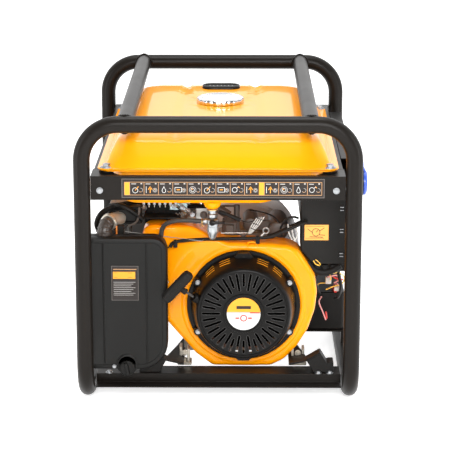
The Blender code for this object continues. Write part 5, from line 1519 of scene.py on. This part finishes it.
sweep(bm, curve(((0.0420, -0.2680, 0.3470), (0.0560, -0.2640, 0.3420), (0.0700, -0.2600, 0.3440)), 5),
      0.0010, 8)
sweep(bm, curve(((0.0600, -0.2300, 0.3580), (0.0800, -0.2350, 0.3560), (0.1050, -0.2300, 0.3460),
                 (0.1200, -0.2250, 0.3300)), 6), 0.0016, 8)
piece("engine_side_cables", bm, RUBBER)
bm = bmesh.new()
sweep(bm, [at(0.1480, -0.2500, 0.3290), at(0.1580, -0.2480, 0.3330)], 0.0022, 8)
piece("copper_terminal", bm, COPPER_RED)
bm = bmesh.new()
for points in (((0.1350, -0.2600, 0.3370), (0.1370, -0.2610, 0.3200), (0.1430, -0.2600, 0.3060)),
               ((0.1420, -0.2600, 0.3330), (0.1450, -0.2610, 0.3150), (0.1500, -0.2590, 0.3020)),
               ((0.1500, -0.2580, 0.3290), (0.1540, -0.2590, 0.3150), (0.1470, -0.2600, 0.3030))):
    sweep(bm, curve(points, 5), 0.0017, 8)
piece("white_sleeves", bm, SHELL_WHITE)


# ---------------------------------------------------------------- muffler
# A pressed drum in dark heat-proof paint with rolled seams, bolted to the head by its inlet pipe.
# A louvred guard lies over its outer side and the tail pipe leaves through it.
MUFFLER_PAINT = surface("heat_proof_paint", (0.030, 0.028, 0.026), 0.55, grain=600, relief=0.0001,
                        mottle=0.25, dust=0.3)
muffler_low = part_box("muffler")[0]


def guard_louvres(bm):
    """Pressed louvres on the muffler's outer side."""
    for number in range(8):
        y = muffler_low.y + 0.026 + 0.026 * number
        sweep(bm, [Vector((muffler_low.x + 0.0010, y, 0.205)), Vector((muffler_low.x + 0.0010, y, 0.280))],
              0.0032, 10)


from_cad("muffler", MUFFLER_PAINT, 0.0030, extra=guard_louvres)


# ---------------------------------------------------------------- alternator
# A laminated stator in a painted steel shell between cast end frames, driven by the crankshaft.
# The moulded end cover has two rings of cooling slots, and rubber mounts carry the frames on the floor beams.
STATOR_STEEL = surface("painted_stator", (0.56, 0.55, 0.57), 0.42, 0.0, grain=500, relief=0.0001, mottle=0.15,
                       dust=0.1)
stator_low, stator_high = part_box("alternator_stator")
stator_r = (stator_high.x - stator_low.x) / 2


def stator_bands(bm):
    """Rolled bands round the stator's shell."""
    for y in (stator_low.y + 0.034, stator_low.y + 0.060, stator_high.y - 0.040):
        add_turned(bm, [(stator_r - 0.001, y - 0.0012), (stator_r + 0.0007, y - 0.0006),
                        (stator_r + 0.0007, y + 0.0006), (stator_r - 0.001, y + 0.0012)], SHAFT, (0, 1, 0),
                   96)


from_cad("alternator_stator", STATOR_STEEL, 0.0020, extra=stator_bands)
from_cad("alternator_adapter", CAST_GREY, 0.0020)
from_cad("alternator_end_bracket", CAST_GREY, 0.0020)
COPPER = surface("enamelled_copper", (0.55, 0.20, 0.08), 0.35, 1.0, dust=0.1)
from_cad("alternator_rotor", COPPER, 0.0008, body="crank")
cover_low, cover_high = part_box("alternator_end_cover")
bm = bmesh.new()
near, far = cover_low.y, cover_high.y
add_turned(bm, [(0.0800, near), (0.0880, near), (0.0898, near + 0.0015), (0.0898, far - 0.0100),
                (0.0880, far - 0.0045), (0.0840, far - 0.0010), (0.0790, far), (0.0010, far),
                (0.0010, far - 0.0025), (0.0780, far - 0.0025), (0.0850, far - 0.0080),
                (0.0870, near + 0.0020)], SHAFT, (0, 1, 0), 96, ring=True)
cutters = bmesh.new()
for inner_end, outer_end, count in ((0.034, 0.050, 12), (0.056, 0.074, 18)):
    pattern = slot_cutter(inner_end, outer_end, 0.0026, far - 0.006, far + 0.004)
    made = copies(pattern, count, BLACK_MOULDING, SHAFT, turn=(0, math.tau / count, 0))
    cutters.from_mesh(made)
piece("alternator_end_grille", cut(bm, cutters), BLACK_MOULDING, stands_for=["alternator_end_cover"])
for side in ("left", "right"):
    from_cad("alternator_mount_" + side, RUBBER, 0.0015)
    from_cad("engine_mount_" + side, RUBBER, 0.0015)


# ---------------------------------------------------------------- control panel
# A black moulded box down the right side, with two blue sockets under sprung flaps, a key switch, a breaker
# and a meter.  Its end cover has a pictogram label and bright spring clips; the wires leave by a rubber boot.
PANEL_BLACK = surface("panel_moulding", (0.0070, 0.0062, 0.0052), 0.44, grain=700, relief=0.00012,
                      mottle=0.12, dust=0.015, shine=0.17)
SOCKET_BLUE = surface("socket_blue", (0.015, 0.075, 0.50), 0.32, dust=0.05, coat=0.3, mottle=0.06)
from_cad("control_panel_housing", PANEL_BLACK, 0.0020)
from_cad("control_panel_face", PANEL_BLACK, 0.0020)
SOCKETS = (("front_socket_flap", "front_flap"), ("rear_socket_flap", "rear_flap"))
SOCKET_X = MIDDLE + 0.2655
SOCKET_Z = 0.385
for node, body in SOCKETS:
    flap_low, flap_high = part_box(node)
    middle = (flap_low + flap_high) / 2

    def flap_ribs(bm):
        """A raised rim on the flap."""
        add_turned(bm, [(0.0200, 0.0), (0.0215, 0.0010), (0.0200, 0.0016), (0.0150, 0.0016)],
                   Vector((flap_high.x - 0.0012, middle.y, middle.z - 0.002)), (1, 0, 0), 32)

    from_cad(node, SOCKET_BLUE, 0.0015, body=body, extra=flap_ribs)
    bm = bmesh.new()
    add_turned(bm, [(0.0262, 0.0), (0.0275, 0.0015), (0.0275, 0.0080), (0.0260, 0.0100)],
               Vector((SOCKET_X, middle.y, SOCKET_Z)), (1, 0, 0), 40)
    for sy in (-0.027, 0.027):
        for sz in (-0.024, 0.024):
            add_bolt(bm, Vector((SOCKET_X, middle.y + sy, SOCKET_Z + sz)), (1, 0, 0), 0.0026, 0.0024, slot=1)
    piece(node + "_collar", bm, [SOCKET_BLUE, ZINC])
from_cad("ignition_key", CHROME, 0.0006, body="key")
from_cad("breaker_switch", BLACK_MOULDING, 0.0008, body="breaker")
bm = bmesh.new()
panel_x = MIDDLE + 0.2652
KEY_Y, METER_Y = 0.100, 0.235
add_turned(bm, [(0.0150, 0), (0.0150, 0.0012), (0.0120, 0.0016)], Vector((panel_x, KEY_Y, SOCKET_Z)),
           (1, 0, 0), 32)
add_turned(bm, [(0.0180, 0), (0.0185, 0.0020), (0.0172, 0.0036), (0.0160, 0.0030)],
           Vector((panel_x, METER_Y, 0.390)), (1, 0, 0), 36)
for y in (0.060, 0.140, 0.210, 0.260):
    add_bolt(bm, Vector((panel_x, y, 0.300)), (1, 0, 0), 0.0030, 0.0026)
for corner_y in (-0.172, 0.282):
    for z in (0.232, 0.432):
        add_bolt(bm, Vector((panel_x, corner_y, z)), (1, 0, 0), 0.0034, 0.0030)
piece("panel_fittings", bm, ZINC)
bm = bmesh.new()
for y, z, wide, high in ((-0.050, 0.330, 0.150, 0.030), (0.140, 0.330, 0.070, 0.030),
                         (0.055, 0.265, 0.200, 0.040)):
    loft(bm, [[Vector((x, y + u, z + v)) for u, v in four_corners(wide / 2, high / 2)]
              for x in (panel_x, panel_x + 0.0005)], slot=0)
    for row in range(3):
        rise = z + high * (0.25 - 0.25 * row)
        loft(bm, [[Vector((x, y - wide * 0.05 + u, rise + v)) for u, v in four_corners(wide * 0.35, 0.001)]
                  for x in (panel_x + 0.0004, panel_x + 0.0008)], slot=1)
piece("panel_labels", bm, [PLATE_BROWN, GREY_INK])

from_cad("control_end_cover", PANEL_BLACK, 0.0030)
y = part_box("control_end_cover")[0].y
bm = bmesh.new()
LABEL_ORANGE = surface("orange_label", (0.80, 0.36, 0.06), 0.42, dust=0.08, mottle=0.08)
add_flat(bm, 0.1680, 0.2150, 0.3010, 0.3320, y - 0.0001, 0.0006, 0)
add_ring(bm, (0.1905, 0.3170), 0.0075, 0.0011, y - 0.0007, 0.0002, 1)
for start, end in (((0.1740, 0.3240), (0.1840, 0.3160)), ((0.1980, 0.3200), (0.2070, 0.3260)),
                   ((0.1780, 0.3080), (0.2040, 0.3070)), ((0.1905, 0.3170), (0.1945, 0.3215)),
                   ((0.1965, 0.3120), (0.2080, 0.3110))):
    add_stroke(bm, start, end, 0.0012, y - 0.0007, 0.0002, 1)
for z in (0.3285, 0.3050):
    add_stroke(bm, (0.1700, z), (0.2060, z), 0.0006, y - 0.0007, 0.0002, 1)
piece("end_cover_label", bm, [LABEL_ORANGE, PLATE_BROWN])
bm = bmesh.new()
for z in (0.3647, 0.3203, 0.2714):
    for step in (-0.0030, 0.0030):
        add_slab(bm, at(0.2370, y - 0.0030, z + step - 0.0009), at(0.2440, y + 0.0010, z + step + 0.0009),
                 0.0008)
for x, z in ((0.1680, 0.4050), (0.2430, 0.4050)):
    add_bolt(bm, at(x, y, z), (0, -1, 0), 0.0034, 0.0030)
piece("end_cover_clips", bm, ZINC)

# Rubber boot below the end cover and the coloured wires that leave it.
YELLOW_WIRE = surface("yellow_wire", (0.85, 0.50, 0.06), 0.4, dust=0.05)
RED_WIRE = surface("red_wire", (0.60, 0.03, 0.02), 0.4, dust=0.05)
PINK_WIRE = surface("pink_wire", (0.75, 0.30, 0.28), 0.4, dust=0.05)
bm = bmesh.new()
boot = curve(((0.1740, -0.2420, 0.2560), (0.1850, -0.2430, 0.2420), (0.2000, -0.2430, 0.2350),
              (0.2200, -0.2430, 0.2370), (0.2400, -0.2420, 0.2480)), 6)
sweep(bm, boot, 0.0065, 14)
for number in range(3):
    add_slab(bm, at(0.1880 + 0.016 * number, -0.2440, 0.2350), at(0.1990 + 0.016 * number, -0.2300, 0.2500),
             0.002)
piece("rubber_boot", bm, RUBBER)
WIRES = ((YELLOW_WIRE, 0.0012, ((0.1860, -0.2480, 0.2600), (0.1900, -0.2500, 0.2540),
                                (0.1980, -0.2490, 0.2500))), (YELLOW_WIRE, 0.0010,
                                                              ((0.1900, -0.2480, 0.2620),
                                                               (0.1960, -0.2500, 0.2580),
                                                               (0.2000, -0.2490, 0.2520))),
         (YELLOW_WIRE, 0.0012, ((0.2120, -0.2300, 0.2300), (0.2250, -0.2200, 0.2260),
                                (0.2390, -0.2050, 0.2230), (0.2500, -0.2000, 0.2120),
                                (0.2450, -0.2000, 0.1980), (0.2280, -0.2000, 0.1930),
                                (0.2140, -0.1950, 0.1850))), (YELLOW_WIRE, 0.0011,
                                                              ((0.2180, -0.2200, 0.2280),
                                                               (0.2230, -0.2100, 0.2120),
                                                               (0.2150, -0.2000, 0.2010),
                                                               (0.2000, -0.1900, 0.1960),
                                                               (0.1960, -0.1800, 0.1800))),
         (PINK_WIRE, 0.0013, ((0.2160, -0.2250, 0.2200), (0.2330, -0.2100, 0.2190),
                              (0.2430, -0.2000, 0.2090), (0.2300, -0.1950, 0.1990))),
         (RED_WIRE, 0.0016, ((0.2270, -0.2020, 0.2140), (0.2370, -0.2010, 0.2090),
                             (0.2480, -0.2000, 0.2070))), (PINK_WIRE, 0.0014,
                                                           ((0.2060, -0.1750, 0.1640),
                                                            (0.2020, -0.1600, 0.1480),
                                                            (0.2100, -0.1500, 0.1250),
                                                            (0.2170, -0.1450, 0.1060))),
         (RED_WIRE, 0.0018, ((0.2170, -0.1450, 0.1230), (0.2190, -0.1420, 0.1080))),
         (RUBBER, 0.0030, ((0.2360, -0.2300, 0.2300), (0.2420, -0.2200, 0.2000), (0.2400, -0.1900, 0.1700),
                           (0.2350, -0.1500, 0.1540))), (RUBBER, 0.0026, ((0.1960, -0.2300, 0.2320),
                                                                          (0.1920, -0.2100, 0.2100),
                                                                          (0.1990, -0.1800, 0.1800),
                                                                          (0.2050, -0.1300, 0.1560))))
for number, (material, r, points) in enumerate(WIRES):
    bm = bmesh.new()
    sweep(bm, curve(points, 7), r, 8)
    piece("panel_wire_%d" % (number + 1), bm, material)
bm = bmesh.new()
add_slab(bm, at(0.2120, -0.2070, 0.2000), at(0.2240, -0.1950, 0.2140), 0.002, 0)
add_slab(bm, at(0.2300, -0.2060, 0.1850), at(0.2400, -0.1960, 0.1930), 0.001, 0)
piece("white_connector", bm, SHELL_WHITE)


# ---------------------------------------------------------------- battery
# A black moulded case standing on a folded steel tray behind the panel's end.
# Its two posts stand under boots, one black and one red, with a short lead from each.
battery_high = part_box("battery")[1]
from_cad("battery", BLACK_MOULDING, 0.0030)
from_cad("battery_tray", POWDER_COAT, 0.0006)
bm = bmesh.new()
for x, slot in ((0.1960, 0), (0.2400, 1)):
    add_turned(bm, [(0.0080, 0), (0.0085, 0.004), (0.0060, 0.011), (0.0040, 0.014)],
               at(x, -0.0850, battery_high.z - 0.001), (0, 0, 1), 20, slot)
    sweep(bm, curve(((x, -0.0850, battery_high.z + 0.010), (x, -0.1050, battery_high.z + 0.016),
                     (x - 0.004, -0.1350, battery_high.z + 0.012)), 5), 0.0035, 10, slot=slot)
piece("battery_leads", bm, [RUBBER, RED_WIRE])


# ---------------------------------------------------------------- wiring loom
# Wires in a black sleeve that runs along the shroud's top edge and plugs into the end cover.
# Two cable ties hold it, their cut tails left on.
bm = bmesh.new()
loom = curve(((-0.0950, -0.2760, 0.2950), (-0.0840, -0.2740, 0.3045), (-0.0400, -0.2730, 0.3090),
              (0.0200, -0.2730, 0.3110), (0.0760, -0.2730, 0.3125), (0.1020, -0.2735, 0.3155),
              (0.1250, -0.2730, 0.3250), (0.1480, -0.2700, 0.3345), (0.1640, -0.2600, 0.3390),
              (0.1700, -0.2520, 0.3390), (0.1700, -0.2454, 0.3390)), 5)
sweep(bm, loom, 0.0034, 14)
for spot, tail in ((loom[5], Vector((-0.0170, -0.0020, -0.0130))),
                   (loom[20], Vector((0.0030, -0.0020, -0.0090)))):
    ahead = (loom[loom.index(spot) + 1] - spot).normalized()
    add_turned(bm, [(0.0030, -0.0030), (0.0047, -0.0026), (0.0047, 0.0026), (0.0030, 0.0030)], spot, ahead,
               16)
    add_slab(bm, spot + Vector((-0.0040, -0.0075, -0.0100)), spot + Vector((0.0040, -0.0030, 0.0010)), 0.0015)
    sweep(bm, [spot, spot + tail * 0.5, spot + tail], 0.0011, 6)
piece("loom_sleeve", bm, RUBBER, stands_for=["wiring_loom"])
